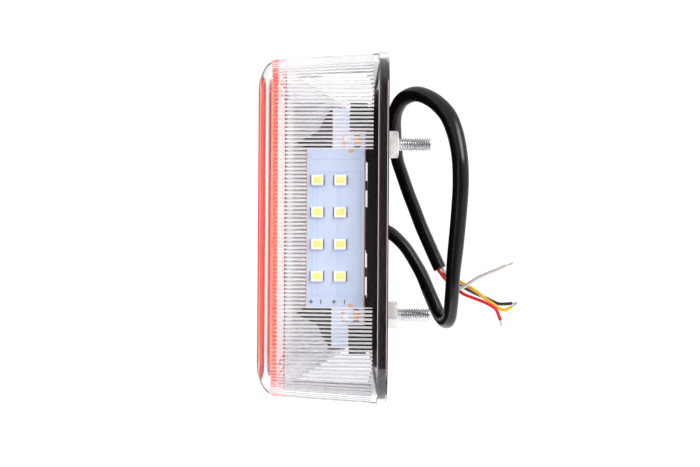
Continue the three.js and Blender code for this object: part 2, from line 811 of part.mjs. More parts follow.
const boardDiode = (z) => onBoardBack(diodeLength, diodeWidth, diodeHeight, boardY[0] + partInset, z);
const boardResistor = (z) => onBoardBack(
  powerResistorLength, powerResistorWidth, resistorHeight, boardY[1] - partInset, z,
);
add('rectifier_diode', boardDiode(partZ), finish.component);
add('surge_diode', boardDiode(-partZ), finish.component);
add('stop_resistor', boardResistor(partZ), finish.component);
add('turn_resistor', boardResistor(-partZ), finish.component);

Object.entries(studZ).forEach(([place, z]) => {
  add(`${place}_stud`, stud(z), finish.zinc);
  add(`${place}_washer`, washer(z), finish.zinc);
  add(`${place}_nut`, nut(z, nutTurns[place]), finish.zinc);
});

add('cable_sheath', sheath(), finish.sheath);
const coreFinish = { white: finish.white, yellow: finish.yellow, black: finish.coreBlack, red: finish.coreRed };
Object.entries(corePoints).forEach(([colour, points]) => {
  add(`core_${colour}`, tube(curveThrough(points), coreRadius, 8, coreSteps), coreFinish[colour]);
  add(`strand_${colour}`, strand(colour), finish.copper);
});

export default lamp;
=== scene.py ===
"""The looks of the square trailer tail light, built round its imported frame.

Metres. +X points out of the back of the lamp, +Z is up along its two studs, and the number-plate
window looks out of the -Y side.
"""

import math

import bmesh
import bpy
from mathutils import Matrix, Vector


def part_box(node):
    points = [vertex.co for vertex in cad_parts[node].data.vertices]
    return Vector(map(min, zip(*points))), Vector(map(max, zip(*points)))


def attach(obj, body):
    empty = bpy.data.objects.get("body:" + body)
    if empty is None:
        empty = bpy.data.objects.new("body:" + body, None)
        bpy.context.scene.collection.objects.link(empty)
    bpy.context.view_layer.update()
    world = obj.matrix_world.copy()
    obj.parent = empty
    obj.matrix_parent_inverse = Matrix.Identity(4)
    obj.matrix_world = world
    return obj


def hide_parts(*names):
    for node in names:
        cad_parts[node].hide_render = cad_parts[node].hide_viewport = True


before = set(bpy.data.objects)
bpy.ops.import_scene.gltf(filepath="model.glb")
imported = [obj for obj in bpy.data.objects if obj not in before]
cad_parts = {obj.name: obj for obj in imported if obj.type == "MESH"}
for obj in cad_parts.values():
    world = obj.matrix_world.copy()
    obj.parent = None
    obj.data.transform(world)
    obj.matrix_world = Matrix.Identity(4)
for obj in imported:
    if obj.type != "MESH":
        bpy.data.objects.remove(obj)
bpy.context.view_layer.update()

MM = 0.001
HAIR = 0.02 * MM

# ---------------------------------------------------------------- places from the frame

lens_low, lens_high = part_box("outer_lens")
panel_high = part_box("front_panel")[1]
inner_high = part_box("inner_lens")[1]
base_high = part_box("base_housing")[1]
plate_low, plate_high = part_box("plate_board")
reflector_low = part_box("reflector")[0]
stud_low, stud_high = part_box("upper_stud")
STUD_Z = (stud_low.z + stud_high.z) / 2

# Lens
CORNER = 10 * MM
LENS_WALL = 2 * MM
LENS_FRONT_WALL = 1.35 * MM
DRAFT = math.tan(math.radians(3.84))
EDGE_DEPTH = 5 * MM
EDGE_REACH = 8 * MM
SKIRT_LENGTH = 2.5 * MM
SKIRT_WALL = 1.3 * MM
SKIRT_STEP = 0.25 * MM
PANEL_CORNER = 2 * MM
PANEL_LINE = 0.42 * MM
WALL_HALF_Y = lens_high.y - SKIRT_STEP
WALL_HALF_Z = lens_high.z - SKIRT_STEP
SKIRT_FRONT = lens_high.x - SKIRT_LENGTH
# Height over which the painted shade at the bottom of the lens fades out
SHADED_HEIGHT = 24 * MM

# Flutes moulded inside the lens wall
FLUTE_PITCH = 1.03 * MM
FLUTE_HALF = 0.275 * FLUTE_PITCH
FLUTE_HEIGHT = 0.26 * MM
FLUTE_FRONT = -30.55 * MM
FLUTE_REAR = -4.1 * MM
WINDOW_FRONT = -21.5 * MM
WINDOW_HALF = 20.8 * MM
END_FLUTES = -20 * MM

# Red inner lens
CROWN_HALF_Y = 38.2 * MM
CROWN_HALF_Z = 36.5 * MM
CROWN_FRONT = -32.2 * MM
CROWN_THICKNESS = 1.45 * MM
PILLOW = 5.5 * MM
PILLOW_HEIGHT = 0.4 * MM
PILLOW_STEPS = 6
BRIM_THICKNESS = 1.35 * MM
BRIM_ADVANCE = 0.1 * MM
BRIM_INSET = 0.15 * MM
BRIM_WIDTH = 2.0 * MM
# Width over which the painted red light from the inner lens fades out
RED_LIGHT_FADE = 0.6 * MM

# Cable
SHEATH_DIAMETER = 4.2 * MM
SHEATH_BORE = 1.5 * MM
SHEATH_BORE_DEPTH = 10 * MM
CORE_DIAMETER = 0.9 * MM
CORE_FULLNESS = 0.54

# ---------------------------------------------------------------- small tools


def srgb(red, green, blue):
    """A colour as seen, 0 to 255, as linear values."""
    def linear(value):
        value /= 255
        return value / 12.92 if value <= 0.04045 else ((value + 0.055) / 1.055) ** 2.4
    return (linear(red), linear(green), linear(blue), 1.0)


def dimmed(colour, share):
    return tuple(value * share for value in colour[:3]) + (1,)


def link(obj):
    bpy.context.scene.collection.objects.link(obj)
    return obj


def mesh_piece(name, vertices, faces, finish=None, smooth=35):
    """A mesh object with its faces turned outwards, smooth but for edges sharper than smooth degrees."""
    mesh = bpy.data.meshes.new(name)
    mesh.from_pydata([tuple(v) for v in vertices], [], faces)
    bm = bmesh.new()
    bm.from_mesh(mesh)
    bmesh.ops.recalc_face_normals(bm, faces=bm.faces)
    bm.to_mesh(mesh)
    bm.free()
    mesh.shade_smooth()
    mesh.set_sharp_from_angle(angle=math.radians(smooth))
    piece = link(bpy.data.objects.new(name, mesh))
    if finish:
        mesh.materials.append(finish)
    return piece


def ring_faces(rings, size, closed=True):
    """Faces between rings of size points each, and over both ends."""
    faces = []
    for r in range(rings - 1):
        for i in range(size):
            j = (i + 1) % size
            faces.append((r * size + i, r * size + j, (r + 1) * size + j, (r + 1) * size + i))
    if closed:
        faces.append(tuple(range(size)))
        faces.append(tuple((rings - 1) * size + i for i in range(size)))
    return faces


def loft(name, rings, finish=None, smooth=35):
    size = len(rings[0])
    vertices = [p for ring in rings for p in ring]
    return mesh_piece(name, vertices, ring_faces(len(rings), size), finish, smooth)


def rounded_outline(half_y, half_z, radius, steps=12):
    """Points (y, z) of a rounded rectangle, counter-clockwise from the +Y side."""
    points = []
    for corner, (sy, sz) in enumerate(((1, 1), (-1, 1), (-1, -1), (1, -1))):
        for step in range(steps + 1):
            angle = (corner + step / steps) * math.pi / 2
            points.append((
                sy * (half_y - radius) + radius * math.cos(angle),
                sz * (half_z - radius) + radius * math.sin(angle),
            ))
    return points


def slab_rings(half_y, half_z, radius, x0, x1, edge=0.2 * MM, steps=12, centre=(0, 0), edge_steps=3):
    """Rings of a rounded plate from x0 to x1 with its two rims rounded by edge."""
    stations = []
    for step in range(edge_steps + 1):
        angle = step / edge_steps * math.pi / 2
        stations.append((x0 + edge * (1 - math.sin(angle)), edge * (1 - math.cos(angle))))
    stations.reverse()
    stations += [(x0 + x1 - x, inset) for x, inset in reversed(stations)]
    rings = []
    for x, inset in stations:
        outline = rounded_outline(half_y - inset, half_z - inset, max(radius - inset, 0.05 * MM), steps)
        rings.append([(x, centre[0] + y, centre[1] + z) for y, z in outline])
    return rings


def slab(name, half_y, half_z, radius, x0, x1, finish=None, **shape):
    return loft(name, slab_rings(half_y, half_z, radius, x0, x1, **shape), finish)


def turned(name, profile, y, z, finish=None, steps=48):
    """A solid of revolution about the X direction through (y, z), from [x, radius] pairs.
    A profile that starts and ends on the axis is capped; one that closes on itself is a ring."""
    hollow = profile[0] == profile[-1]
    pairs = profile[:-1] if hollow else profile
    rings = []
    for x, radius in pairs:
        radius = max(radius, HAIR)
        rings.append([
            (x, y + radius * math.cos(angle), z + radius * math.sin(angle))
            for angle in (2 * math.pi * i / steps for i in range(steps))
        ])
    vertices = [p for ring in rings for p in ring]
    faces = ring_faces(len(rings), steps, closed=not hollow)
    if hollow:
        last = (len(rings) - 1) * steps
        faces += [(last + i, last + (i + 1) % steps, (i + 1) % steps, i) for i in range(steps)]
    return mesh_piece(name, vertices, faces, finish)


def box_points(x0, x1, y0, y1, z0, z1):
    return [(x, y, z) for x in (x0, x1) for y in (y0, y1) for z in (z0, z1)]


BOX_FACES = [(0, 1, 3, 2), (4, 6, 7, 5), (0, 4, 5, 1), (2, 3, 7, 6), (0, 2, 6, 4), (1, 5, 7, 3)]


def block(name, x0, x1, y0, y1, z0, z1, finish=None):
    return mesh_piece(name, box_points(x0, x1, y0, y1, z0, z1), BOX_FACES, finish)


def applied(piece):
    """The piece with its modifiers made part of its mesh."""
    bpy.context.view_layer.update()
    evaluated = piece.evaluated_get(bpy.context.evaluated_depsgraph_get())
    mesh = bpy.data.meshes.new_from_object(evaluated)
    piece.modifiers.clear()
    piece.data = mesh
    return piece


def round_edges(piece, width, steps=2, angle=30):
    bevel = piece.modifiers.new("round", "BEVEL")
    bevel.width = width
    bevel.segments = steps
    bevel.limit_method = "ANGLE"
    bevel.angle_limit = math.radians(angle)
    bevel.harden_normals = False
    return applied(piece)


def shaped(piece, tools, operation):
    """The piece with each tool joined to it or cut out of it, and the tools gone."""
    for tool in tools:
        step = piece.modifiers.new("shape", "BOOLEAN")
        step.operation = operation
        step.solver = "EXACT"
        step.object = tool
    applied(piece)
    for tool in tools:
        bpy.data.objects.remove(tool)
    return piece


def smooth_by_angle(piece, angle=35):
    piece.data.shade_smooth()
    piece.data.set_sharp_from_angle(angle=math.radians(angle))
    return piece


def joined(name, pieces):
    """Separate solids in one piece, each keeping its own finish."""
    bm = bmesh.new()
    finishes = []
    for piece in pieces:
        for material in piece.data.materials:
            if material not in finishes:
                finishes.append(material)
        first = len(bm.faces)
        bm.from_mesh(piece.data)
        bm.faces.ensure_lookup_table()
        for face in bm.faces[first:]:
            if piece.data.materials:
                face.material_index = finishes.index(piece.data.materials[face.material_index])
    mesh = bpy.data.meshes.new(name)
    bm.to_mesh(mesh)
    bm.free()
    for material in finishes:
        mesh.materials.append(material)
    for piece in pieces:
        bpy.data.objects.remove(piece)
    return link(bpy.data.objects.new(name, mesh))


def place(piece, body, slot, *nodes):
    """Rides on a body and stands for its CAD nodes; slot is not used."""
    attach(piece, body)
    if nodes:
        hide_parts(*nodes)
    return piece


SPAN_STEPS = 6


def through(points):
    """A smooth line through points, each stretch eased by the distance between its ends."""
    points = [Vector(p) for p in points]
    ends = [2 * points[0] - points[1], *points, 2 * points[-1] - points[-2]]
    line = []
    for i in range(1, len(ends) - 2):
        p0, p1, p2, p3 = ends[i - 1:i + 3]
        t0 = 0.0
        t1 = t0 + math.sqrt((p1 - p0).length)
        t2 = t1 + math.sqrt((p2 - p1).length)
        t3 = t2 + math.sqrt((p3 - p2).length)
        for step in range(SPAN_STEPS):
            t = t1 + (t2 - t1) * step / SPAN_STEPS
            a1 = p0 * ((t1 - t) / (t1 - t0)) + p1 * ((t - t0) / (t1 - t0))
            a2 = p1 * ((t2 - t) / (t2 - t1)) + p2 * ((t - t1) / (t2 - t1))
            a3 = p2 * ((t3 - t) / (t3 - t2)) + p3 * ((t - t2) / (t3 - t2))
            b1 = a1 * ((t2 - t) / (t2 - t0)) + a2 * ((t - t0) / (t2 - t0))
            b2 = a2 * ((t3 - t) / (t3 - t1)) + a3 * ((t - t1) / (t3 - t1))
            line.append(b1 * ((t2 - t) / (t2 - t1)) + b2 * ((t - t1) / (t2 - t1)))
    line.append(points[-1])
    return line


def line_length(line):
    return sum((b - a).length for a, b in zip(line, line[1:]))


def frames_along(line):
    """(point, side, lift) along a line, side kept level with the XZ plane where the line lies near it."""
    frames = []
    side = None
    for i, point in enumerate(line):
        ahead = line[min(i + 1, len(line) - 1)] - line[max(i - 1, 0)]
        ahead.normalize()
        level = ahead.cross(Vector((0, 1, 0)))
        if side is None:
            side = level.normalized()
        side = side - ahead * side.dot(ahead)
        side.normalize()
        if level.length > 0.4:
            level.normalize()
            if level.dot(side) < 0:
                level.negate()
            side = (side * 0.75 + level * 0.25).normalized()
        frames.append((point, side, ahead.cross(side).normalized()))
    return frames


def swept(name, line, widths, finish=None, steps=24):
    """A tube along line. widths(share) gives its half width in the XZ plane and its half thickness."""
    rings = []
    total = line_length(line)
    run = 0.0
    for i, (point, side, lift) in enumerate(frames_along(line)):
        run += (line[i] - line[i - 1]).length if i else 0.0
        half_width, half_thickness = widths(run / total)
        rings.append([
            point
            + side * half_width * math.cos(2 * math.pi * k / steps)
            + lift * half_thickness * math.sin(2 * math.pi * k / steps)
            for k in range(steps)
        ])
    return loft(name, rings, finish, 60)


# ---------------------------------------------------------------- finishes


def new_finish(name, **sockets):
    material = bpy.data.materials.new(name)
    material.use_nodes = True
    shader = material.node_tree.nodes["Principled BSDF"]
    for socket, value in sockets.items():
        shader.inputs[socket.replace("_", " ")].default_value = value
    return material


def shader_of(material):
    return material.node_tree.nodes["Principled BSDF"]


def noise(material, scale, detail=4.0, stretch=(1, 1, 1)):
    """Noise fixed to the piece. scale is in cells per metre."""
    tree = material.node_tree
    where = tree.nodes.new("ShaderNodeTexCoord")
    mapping = tree.nodes.new("ShaderNodeMapping")
    mapping.inputs["Scale"].default_value = stretch
    texture = tree.nodes.new("ShaderNodeTexNoise")
    texture.inputs["Scale"].default_value = scale
    texture.inputs["Detail"].default_value = detail
    texture.inputs["Roughness"].default_value = 0.55
    tree.links.new(where.outputs["Object"], mapping.inputs["Vector"])
    tree.links.new(mapping.outputs["Vector"], texture.inputs["Vector"])
    return texture.outputs["Fac"]


def ramp(material, source, *stops):
    """Values or colours at places from 0 to 1 along source."""
    tree = material.node_tree
    node = tree.nodes.new("ShaderNodeValToRGB")
    elements = node.color_ramp.elements
    while len(elements) < len(stops):
        elements.new(0.5)
    for element, (position, value) in zip(elements, stops):
        element.position = position
        element.color = value if hasattr(value, "__len__") else (value, value, value, 1)
    tree.links.new(source, node.inputs["Fac"])
    return node.outputs["Color"]


def blended(material, factor, first, second):
    """first where factor is 0 and second where it is 1; either is a colour or an output."""
    tree = material.node_tree
    node = tree.nodes.new("ShaderNodeMix")
    node.data_type = "RGBA"
    tree.links.new(factor, node.inputs["Factor"])
    for value, socket in ((first, node.inputs[6]), (second, node.inputs[7])):
        if hasattr(value, "links"):
            tree.links.new(value, socket)
        else:
            socket.default_value = value
    return node.outputs[2]


def feed(material, output, socket):
    material.node_tree.links.new(output, shader_of(material).inputs[socket])


def bump(material, height, strength, distance):
    tree = material.node_tree
    node = tree.nodes.new("ShaderNodeBump")
    node.inputs["Strength"].default_value = strength
    node.inputs["Distance"].default_value = distance
    tree.links.new(height, node.inputs["Height"])
    feed(material, node.outputs["Normal"], "Normal")


def ranged(tree, value, start, end, low=0.0, high=1.0):
    """low where value is start, high where it is end, and held beyond them; high may be an output."""
    node = tree.nodes.new("ShaderNodeMapRange")
    for socket, amount in (("From Min", start), ("From Max", end), ("To Min", low)):
        node.inputs[socket].default_value = amount
    if hasattr(high, "links"):
        tree.links.new(high, node.inputs["To Max"])
    else:
        node.inputs["To Max"].default_value = high
    tree.links.new(value, node.inputs["Value"])
    return node.outputs["Result"]


def along(material, axis, start, end):
    """0 to 1 between two places on an axis of the lamp."""
    tree = material.node_tree
    where = tree.nodes.new("ShaderNodeTexCoord")
    split = tree.nodes.new("ShaderNodeSeparateXYZ")
    tree.links.new(where.outputs["Object"], split.inputs["Vector"])
    return ranged(tree, split.outputs[axis], start, end)


def painted_shade_below(material, source, shade_colour):
    """Paints shade: turns from the source colour to the given shaded colour towards the bottom of the lamp,
    which is less lit.
    """
    height = along(material, "Z", lens_low.z, lens_low.z + SHADED_HEIGHT)
    feed(material, blended(material, height, shade_colour, source), "Base Color")


def lets_light_in(material):
    """Lamps shine through the material, as through clear plastic."""
    tree = material.node_tree
    output = tree.nodes["Material Output"]
    path = tree.nodes.new("ShaderNodeLightPath")
    clear = tree.nodes.new("ShaderNodeBsdfTransparent")
    clear.inputs["Color"].default_value = shader_of(material).inputs["Base Color"].default_value
    mix = tree.nodes.new("ShaderNodeMixShader")
    tree.links.new(path.outputs["Is Shadow Ray"], mix.inputs["Fac"])
    tree.links.new(shader_of(material).outputs["BSDF"], mix.inputs[1])
    tree.links.new(clear.outputs["BSDF"], mix.inputs[2])
    tree.links.new(mix.outputs["Shader"], output.inputs["Surface"])
    return material


def clear_plastic():
    colour = (0.985, 0.985, 0.995, 1)
    material = new_finish(
        "clear_plastic", Base_Color=colour, Roughness=0.0, IOR=1.49, Transmission_Weight=1.0,
        Specular_IOR_Level=0.2,
    )
    smear = noise(material, 60, 3)
    feed(material, ramp(material, smear, (0.35, 0.0), (0.75, 0.035)), "Roughness")
    # painted shade: greyer towards the bottom of the lamp
    painted_shade_below(material, colour, (0.85, 0.83, 0.865, 1))
    return lets_light_in(material)


def painted_red_light(material, source):
    """Paints in red light: the source colour turned red where the red inner lens shines into it."""
    edge = inner_high.x - BRIM_ADVANCE
    back = along(material, "X", edge - RED_LIGHT_FADE / 2, edge + RED_LIGHT_FADE / 2)
    return blended(material, back, (1.0, 0.3, 0.25, 1), source)


def scattering_plastic(name, colour, clearness):
    """Clear plastic moulded so finely that it looks white, with painted shade towards the bottom and painted
    red light near the front.
    """
    material = new_finish(name, Base_Color=colour, Roughness=0.25, IOR=1.49, Transmission_Weight=clearness)
    pale = blended(material, noise(material, 150, 3), dimmed(colour, 0.93), colour)
    painted_shade_below(material, painted_red_light(material, pale), dimmed(colour, 0.74))
    return lets_light_in(material)


def mottled(material, grain, colour, share):
    """Varies the colour a little, down to a share of it."""
    feed(material, blended(material, noise(material, grain, 3), dimmed(colour, share), colour), "Base Color")


def painted_glow_finish(name, colour, glow, shine=0.5):
    """Paints in glow: the edge of a bright plastic sheet made to give off light, standing in for the light
    its broad faces gather.
    """
    material = new_finish(
        name, Base_Color=colour, Roughness=0.3, IOR=1.49, Emission_Color=colour, Emission_Strength=glow,
        Specular_IOR_Level=shine,
    )
    mottled(material, 300, colour, 0.85)
    return material


def red_plastic(name, colour):
    material = new_finish(name, Base_Color=colour, Roughness=0.0, IOR=1.49, Transmission_Weight=0.8)
    feed(material, blended(material, noise(material, 90, 3), colour, dimmed(colour, 0.9)), "Base Color")
    return lets_light_in(material)


def black_moulding():
    """Black ABS with a fine moulded grain, handling smears and a little dust."""
    black = srgb(17, 15, 17)
    material = new_finish(
        "black_moulding", Base_Color=black, Roughness=0.32, IOR=1.5, Specular_IOR_Level=0.25,
    )
    smears = noise(material, 140, 5, stretch=(1, 1, 0.25))
    dust = ramp(material, noise(material, 1900, 2), (0.74, 0.0), (0.78, 1.0))
    feed(material, blended(material, dust, black, srgb(110, 108, 112)), "Base Color")
    feed(material, ramp(material, smears, (0.3, 0.22), (0.7, 0.42)), "Roughness")
    bump(material, noise(material, 4200, 3), 0.12, 0.02 * MM)
    return material


def rubber():
    material = new_finish("rubber", Base_Color=srgb(40, 38, 40), Roughness=0.6)
    feed(material, ramp(material, noise(material, 700, 4), (0.3, 0.5), (0.7, 0.75)), "Roughness")
    bump(material, noise(material, 2500, 3), 0.2, 0.03 * MM)
    return material


def sheath_plastic():
    """Soft black PVC with a broad sheen, a little uneven along its length."""
    material = new_finish(
        "sheath_plastic", Base_Color=srgb(12, 11, 13), Roughness=0.2, IOR=1.54, Specular_IOR_Level=0.4,
    )
    wear = noise(material, 70, 3)
    feed(material, blended(material, wear, srgb(9, 8, 10), srgb(18, 17, 20)), "Base Color")
    feed(material, ramp(material, wear, (0.3, 0.15), (0.75, 0.24)), "Roughness")
    return material


def core_plastic(name, colour):
    material = new_finish(name, Base_Color=colour, Roughness=0.4, IOR=1.5)
    mottled(material, 300, colour, 0.9)
    return material


def metal(name, colour, roughness, grain=1200, relief=0.12, metallic=1.0):
    material = new_finish(name, Base_Color=colour, Roughness=roughness, Metallic=metallic)
    marks = noise(material, grain, 5)
    worn = ramp(material, marks, (0.35, 0.0), (0.7, 1.0))
    feed(material, blended(material, worn, colour, dimmed(colour, 0.75)), "Base Color")
    feed(material, ramp(material, marks, (0.3, roughness * 0.7), (0.75, roughness * 1.5)), "Roughness")
    bump(material, marks, relief, 0.02 * MM)
    return material


def metallised():
    """Vacuum metal over a pebbled moulding, dark brown along a narrow band at its front."""
    material = new_finish(
        "metallised_reflector", Base_Color=(0.95, 0.95, 0.96, 1), Roughness=0.16, Metallic=0.75,
    )
    lip = along(material, "X", reflector_low.x + 0.2 * MM, reflector_low.x + 0.4 * MM)
    bright = blended(material, noise(material, 250, 4), (0.9, 0.89, 0.9, 1), (0.97, 0.97, 0.98, 1))
    feed(material, blended(material, lip, srgb(60, 44, 40), bright), "Base Color")
    bump(material, noise(material, 420, 3), 0.5, 0.15 * MM)
    return material


def solder_mask():
    """White mask with a cool cast, a little uneven over the laminate."""
    material = new_finish("solder_mask", Base_Color=srgb(205, 216, 238), Roughness=0.42)
    cast = noise(material, 160, 4)
    feed(material, blended(material, cast, srgb(199, 211, 236), srgb(212, 221, 240)), "Base Color")
    bump(material, noise(material, 900, 3), 0.06, 0.02 * MM)
    return material


def laminate():
    """Brown paper laminate, as the cut edge of the board shows it."""
    material = new_finish("laminate", Base_Color=srgb(176, 122, 66), Roughness=0.7)
    layers = noise(material, 900, 4, stretch=(1, 6, 1))
    feed(material, blended(material, layers, srgb(150, 98, 50), srgb(205, 152, 92)), "Base Color")
    bump(material, layers, 0.3, 0.03 * MM)
    return material


def plain(name, colour, roughness=0.45, grain=900, metallic=0.0):
    material = new_finish(name, Base_Color=colour, Roughness=roughness, Metallic=metallic)
    mottled(material, grain, colour, 0.88)
    return material


CLEAR = clear_plastic()
FLUTED = scattering_plastic("fluted_plastic", (0.93, 0.91, 0.93, 1), 0.4)
# Painted glint: pinkish light lines along the two rims of the skirt
RIM_GLINT = scattering_plastic("skirt_rim_painted_glint", (0.82, 0.55, 0.62, 1), 0.15)
RED_PANEL = red_plastic("red_panel_plastic", (0.86, 0.012, 0.03, 1))
# These finishes give off light, a painted glow for the light that the red and prismatic plastics carry to
# their edges
RED_PANEL_EDGE_GLOW = painted_glow_finish("red_panel_edge_painted_glow", (0.66, 0.02, 0.08, 1), 0.3, shine=0.0)
RED_PANEL_RIM_GLOW = painted_glow_finish("red_panel_rim_painted_glow", (1.0, 0.13, 0.02, 1), 0.7, shine=0.0)
PRISMATIC_GLOW = painted_glow_finish("prismatic_plastic_painted_glow", (1.0, 0.96, 0.96, 1), 0.4)
RED_PILLOWS_GLOW = painted_glow_finish("red_pillow_plastic_painted_glow", (1.0, 0.09, 0.0, 1), 0.4, shine=0.1)
ORANGE_EDGE_GLOW = painted_glow_finish("orange_edge_painted_glow", (1.0, 0.11, 0.0, 1), 3.2, shine=0.1)
RED_EDGE_GLOW = painted_glow_finish("red_edge_painted_glow", (1.0, 0.015, 0.0, 1), 3.0, shine=0.1)
BLACK = black_moulding()
RUBBER = rubber()
SHEATH = sheath_plastic()
CORES = {
    "white": core_plastic("core_white_plastic", srgb(214, 206, 203)),
    "yellow": core_plastic("core_yellow_plastic", srgb(255, 196, 0)),
    "black": core_plastic("core_black_plastic", srgb(42, 36, 38)),
    "red": core_plastic("core_red_plastic", srgb(240, 22, 20)),
}
ZINC = metal("zinc_plate", (0.93, 0.93, 0.96, 1), 0.16, grain=300, relief=0.0, metallic=0.8)
# Painted shade: darker zinc for the grooves between the thread's crests
THREAD_ROOT_SHADE = metal("thread_root_painted_shade", (0.8, 0.79, 0.84, 1), 0.35, grain=500, relief=0.0)
NUT_ZINC = plain("dull_zinc_plate", (1.0, 0.965, 0.94, 1), 0.3, 500, metallic=0.18)
METALLISED = metallised()
TINNED = metal("tinned_copper", (0.78, 0.74, 0.70, 1), 0.3)
SOLDER = plain("solder_metal", (1.0, 1.0, 1.0, 1), 0.25, 900, metallic=0.15)
MASK = solder_mask()
LAMINATE = laminate()
LED_WHITE = plain("led_body_white", srgb(255, 253, 248))
PHOSPHOR = plain("led_phosphor", srgb(255, 248, 138), 0.5, 2600)
PHOSPHOR_RED = plain("led_window_red", srgb(232, 190, 180), 0.3, 2600)
PHOSPHOR_AMBER = plain("led_window_amber", srgb(240, 196, 110), 0.3, 2600)
COMPONENT = plain("component_black_body", srgb(34, 32, 35), 0.5, 1800)
FLUX = plain("flux_brown", srgb(224, 196, 156), 0.35, 2600)
RESISTOR = plain("resistor_body", srgb(246, 174, 92), 0.4, 2600)
COPPER = plain("bare_copper_pad", srgb(242, 170, 100), 0.35, 2600)
INK = plain("board_ink", srgb(38, 40, 52), 0.5, 2600)
TRACE = plain("masked_copper", srgb(186, 212, 246), 0.4, 400)

# ---------------------------------------------------------------- camera


CAMERA_PLACE = (-10.09 * MM, -425 * MM, -3.1 * MM)
CAMERA_LENS = 74.45
CAMERA_SHIFT = 0.0093
CAMERA_ROLL = -0.4


def make_camera():
    """Looks square on to the number-plate window, from just over 0.4 m before the lamp's middle."""
    data = bpy.data.cameras.new("camera")
    data.sensor_width = 36.0
    data.lens = CAMERA_LENS
    data.shift_y = CAMERA_SHIFT
    data.clip_start = 0.01
    camera = link(bpy.data.objects.new("camera", data))
    camera.location = CAMERA_PLACE
    camera.rotation_euler = (math.radians(90), math.radians(CAMERA_ROLL), 0)
    bpy.context.scene.camera = camera


make_camera()

# ---------------------------------------------------------------- cable

SHEATH_POINTS = [
    (-6.5, 0, 0), (-3.5, 0, 0), (-0.7, 0, 0), (1.3, -0.2, -0.7), (3.4, -1, -2.3), (6.2, -2.2, -5.3),
    (8.7, -3.6, -9.2), (10.8, -4.8, -13), (12.6, -5.8, -17.3), (14.2, -6.6, -21.1), (15.7, -7.8, -24.3),
    (17.2, -10.6, -26.1), (18.2, -14.6, -24.8), (18.5, -16.6, -21.7), (18.8, -17, -17.2), (19.1, -17, -11.6),
    (19.9, -17, -3.1), (20.6, -17, 5.4), (21, -17, 12.4), (20.9, -16.4, 18.6), (20.4, -15, 23.4),
    (19.5, -13.2, 27.9), (17.9, -11, 32.4), (15.5, -8.6, 35.7), (12.5, -6, 38.2), (8.9, -3, 39.6),
    (5.5, 0, 38.6), (3.6, 2.8, 36.2), (2.9, 5.4, 33.2), (3, 7.8, 29.5), (3.4, 9.3, 25.1), (4, 9.8, 20.9),
    (5.4, 9.7, 16.7), (7.4, 9.2, 11), (9.3, 8.7, 6.1), (11.2, 8.2, 1.1), (13.3, 7.6, -3.7), (15.2, 7.1, -8),
    (16.8, 6.6, -11.5),
]
CORE_POINTS = {
    "white": [
        (13.85, 7, -3.45), (15.75, 6.5, -7.75), (17.35, 6, -11.25), (19.9, 4.9, -14.4), (22.7, 4, -17.1),
        (24.9, 3.6, -15.9), (27.5, 3.2, -14.2), (30.1, 2.8, -12.9), (33.3, 2.4, -11.6), (35.9, 2, -10.4),
    ],
    "yellow": [
        (13.85, 8.2, -3.45), (15.75, 7.7, -7.75), (17.35, 7.2, -11.25), (19.9, 6.9, -13.5),
        (22.9, 6.5, -15.3), (25.1, 5.8, -16.6), (27.7, 5, -18.2), (29.9, 4.6, -20), (32.5, 4, -21.8),
        (34, 3.6, -22.9), (35.8, 3.2, -23.5), (36.9, 3, -23.1), (37.9, 2.9, -22.5),
    ],
    "black": [
        (12.75, 8.2, -3.95), (14.65, 7.7, -8.25), (16.25, 7.2, -11.75), (19.9, 8, -14.8), (24.3, 8, -17.2),
        (27.2, 8, -18.7), (30.6, 7.6, -20.1), (32.8, 7, -21.2), (34.3, 6.6, -21.8), (36.5, 6, -21.8),
        (38.3, 5.6, -21.6),
    ],
    "red": [
        (12.75, 7, -3.95), (14.65, 6.5, -8.25), (16.25, 6, -11.75), (19, 5.9, -15.2), (22.6, 5.4, -18.1),
        (23.9, 4.6, -19), (26.8, 3.4, -20.1), (29.7, 2.2, -21.2), (31.5, 1.6, -22.1), (33, 1.2, -23.2),
        (33.8, 0.9, -24.9), (34.3, 0.7, -26.4),
    ],
}
STRAND_TIPS = {
    "white": (38, 1.8, -9.6),
    "yellow": (39.4, 2.6, -21.4),
    "black": (39.7, 5.2, -21.5),
    "red": (34.6, 0.5, -28),
}
# The sheath is pressed a little flat where it bends: (share of its length, width seen from the window side)
SHEATH_WIDTHS = [
    (0.0, 4.2), (0.08, 3.5), (0.2, 3.9), (0.3, 4.0), (0.37, 4.5), (0.5, 4.7), (0.58, 5.0), (0.66, 4.6),
    (0.74, 4.2), (0.82, 3.8), (1.0, 3.9),
]


def metres(points):
    return [Vector(p) * MM for p in points]


def between(table, share):
    """The value at share along a table of (share, value), eased from row to row."""
    for (s0, v0), (s1, v1) in zip(table, table[1:]):
        if share <= s1:
            t = max(0.0, (share - s0) / (s1 - s0))
            return v0 + (v1 - v0) * t * t * (3 - 2 * t)
    return table[-1][1]


def make_sheath():
    line = through(metres(SHEATH_POINTS))

    def widths(share):
        width = between(SHEATH_WIDTHS, share) * MM
        return width / 2, (2 * SHEATH_DIAMETER - width) / 2

    piece = swept("sheath", line, widths, SHEATH)
    inside = [p for p in line if (line[-1] - p).length < SHEATH_BORE_DEPTH]
    inside.append(line[-1] + (line[-1] - line[-2]).normalized() * MM)
    bore = swept("bore", inside, lambda share: (SHEATH_BORE, SHEATH_BORE), SHEATH)
    shaped(piece, [bore], "DIFFERENCE")
    smooth_by_angle(piece, 60)
    place(piece, "lamp", "cable_black", "cable_sheath")


def make_core(colour):
    line = through(metres(CORE_POINTS[colour]))
    radius = CORE_DIAMETER * CORE_FULLNESS
    piece = swept(f"core_{colour}_insulation", line, lambda share: (radius, radius), CORES[colour], steps=16)
    place(piece, "lamp", f"core_{colour}", f"core_{colour}")
    tip = Vector(STRAND_TIPS[colour]) * MM
    wires = make_strand(colour, line[-1], tip)


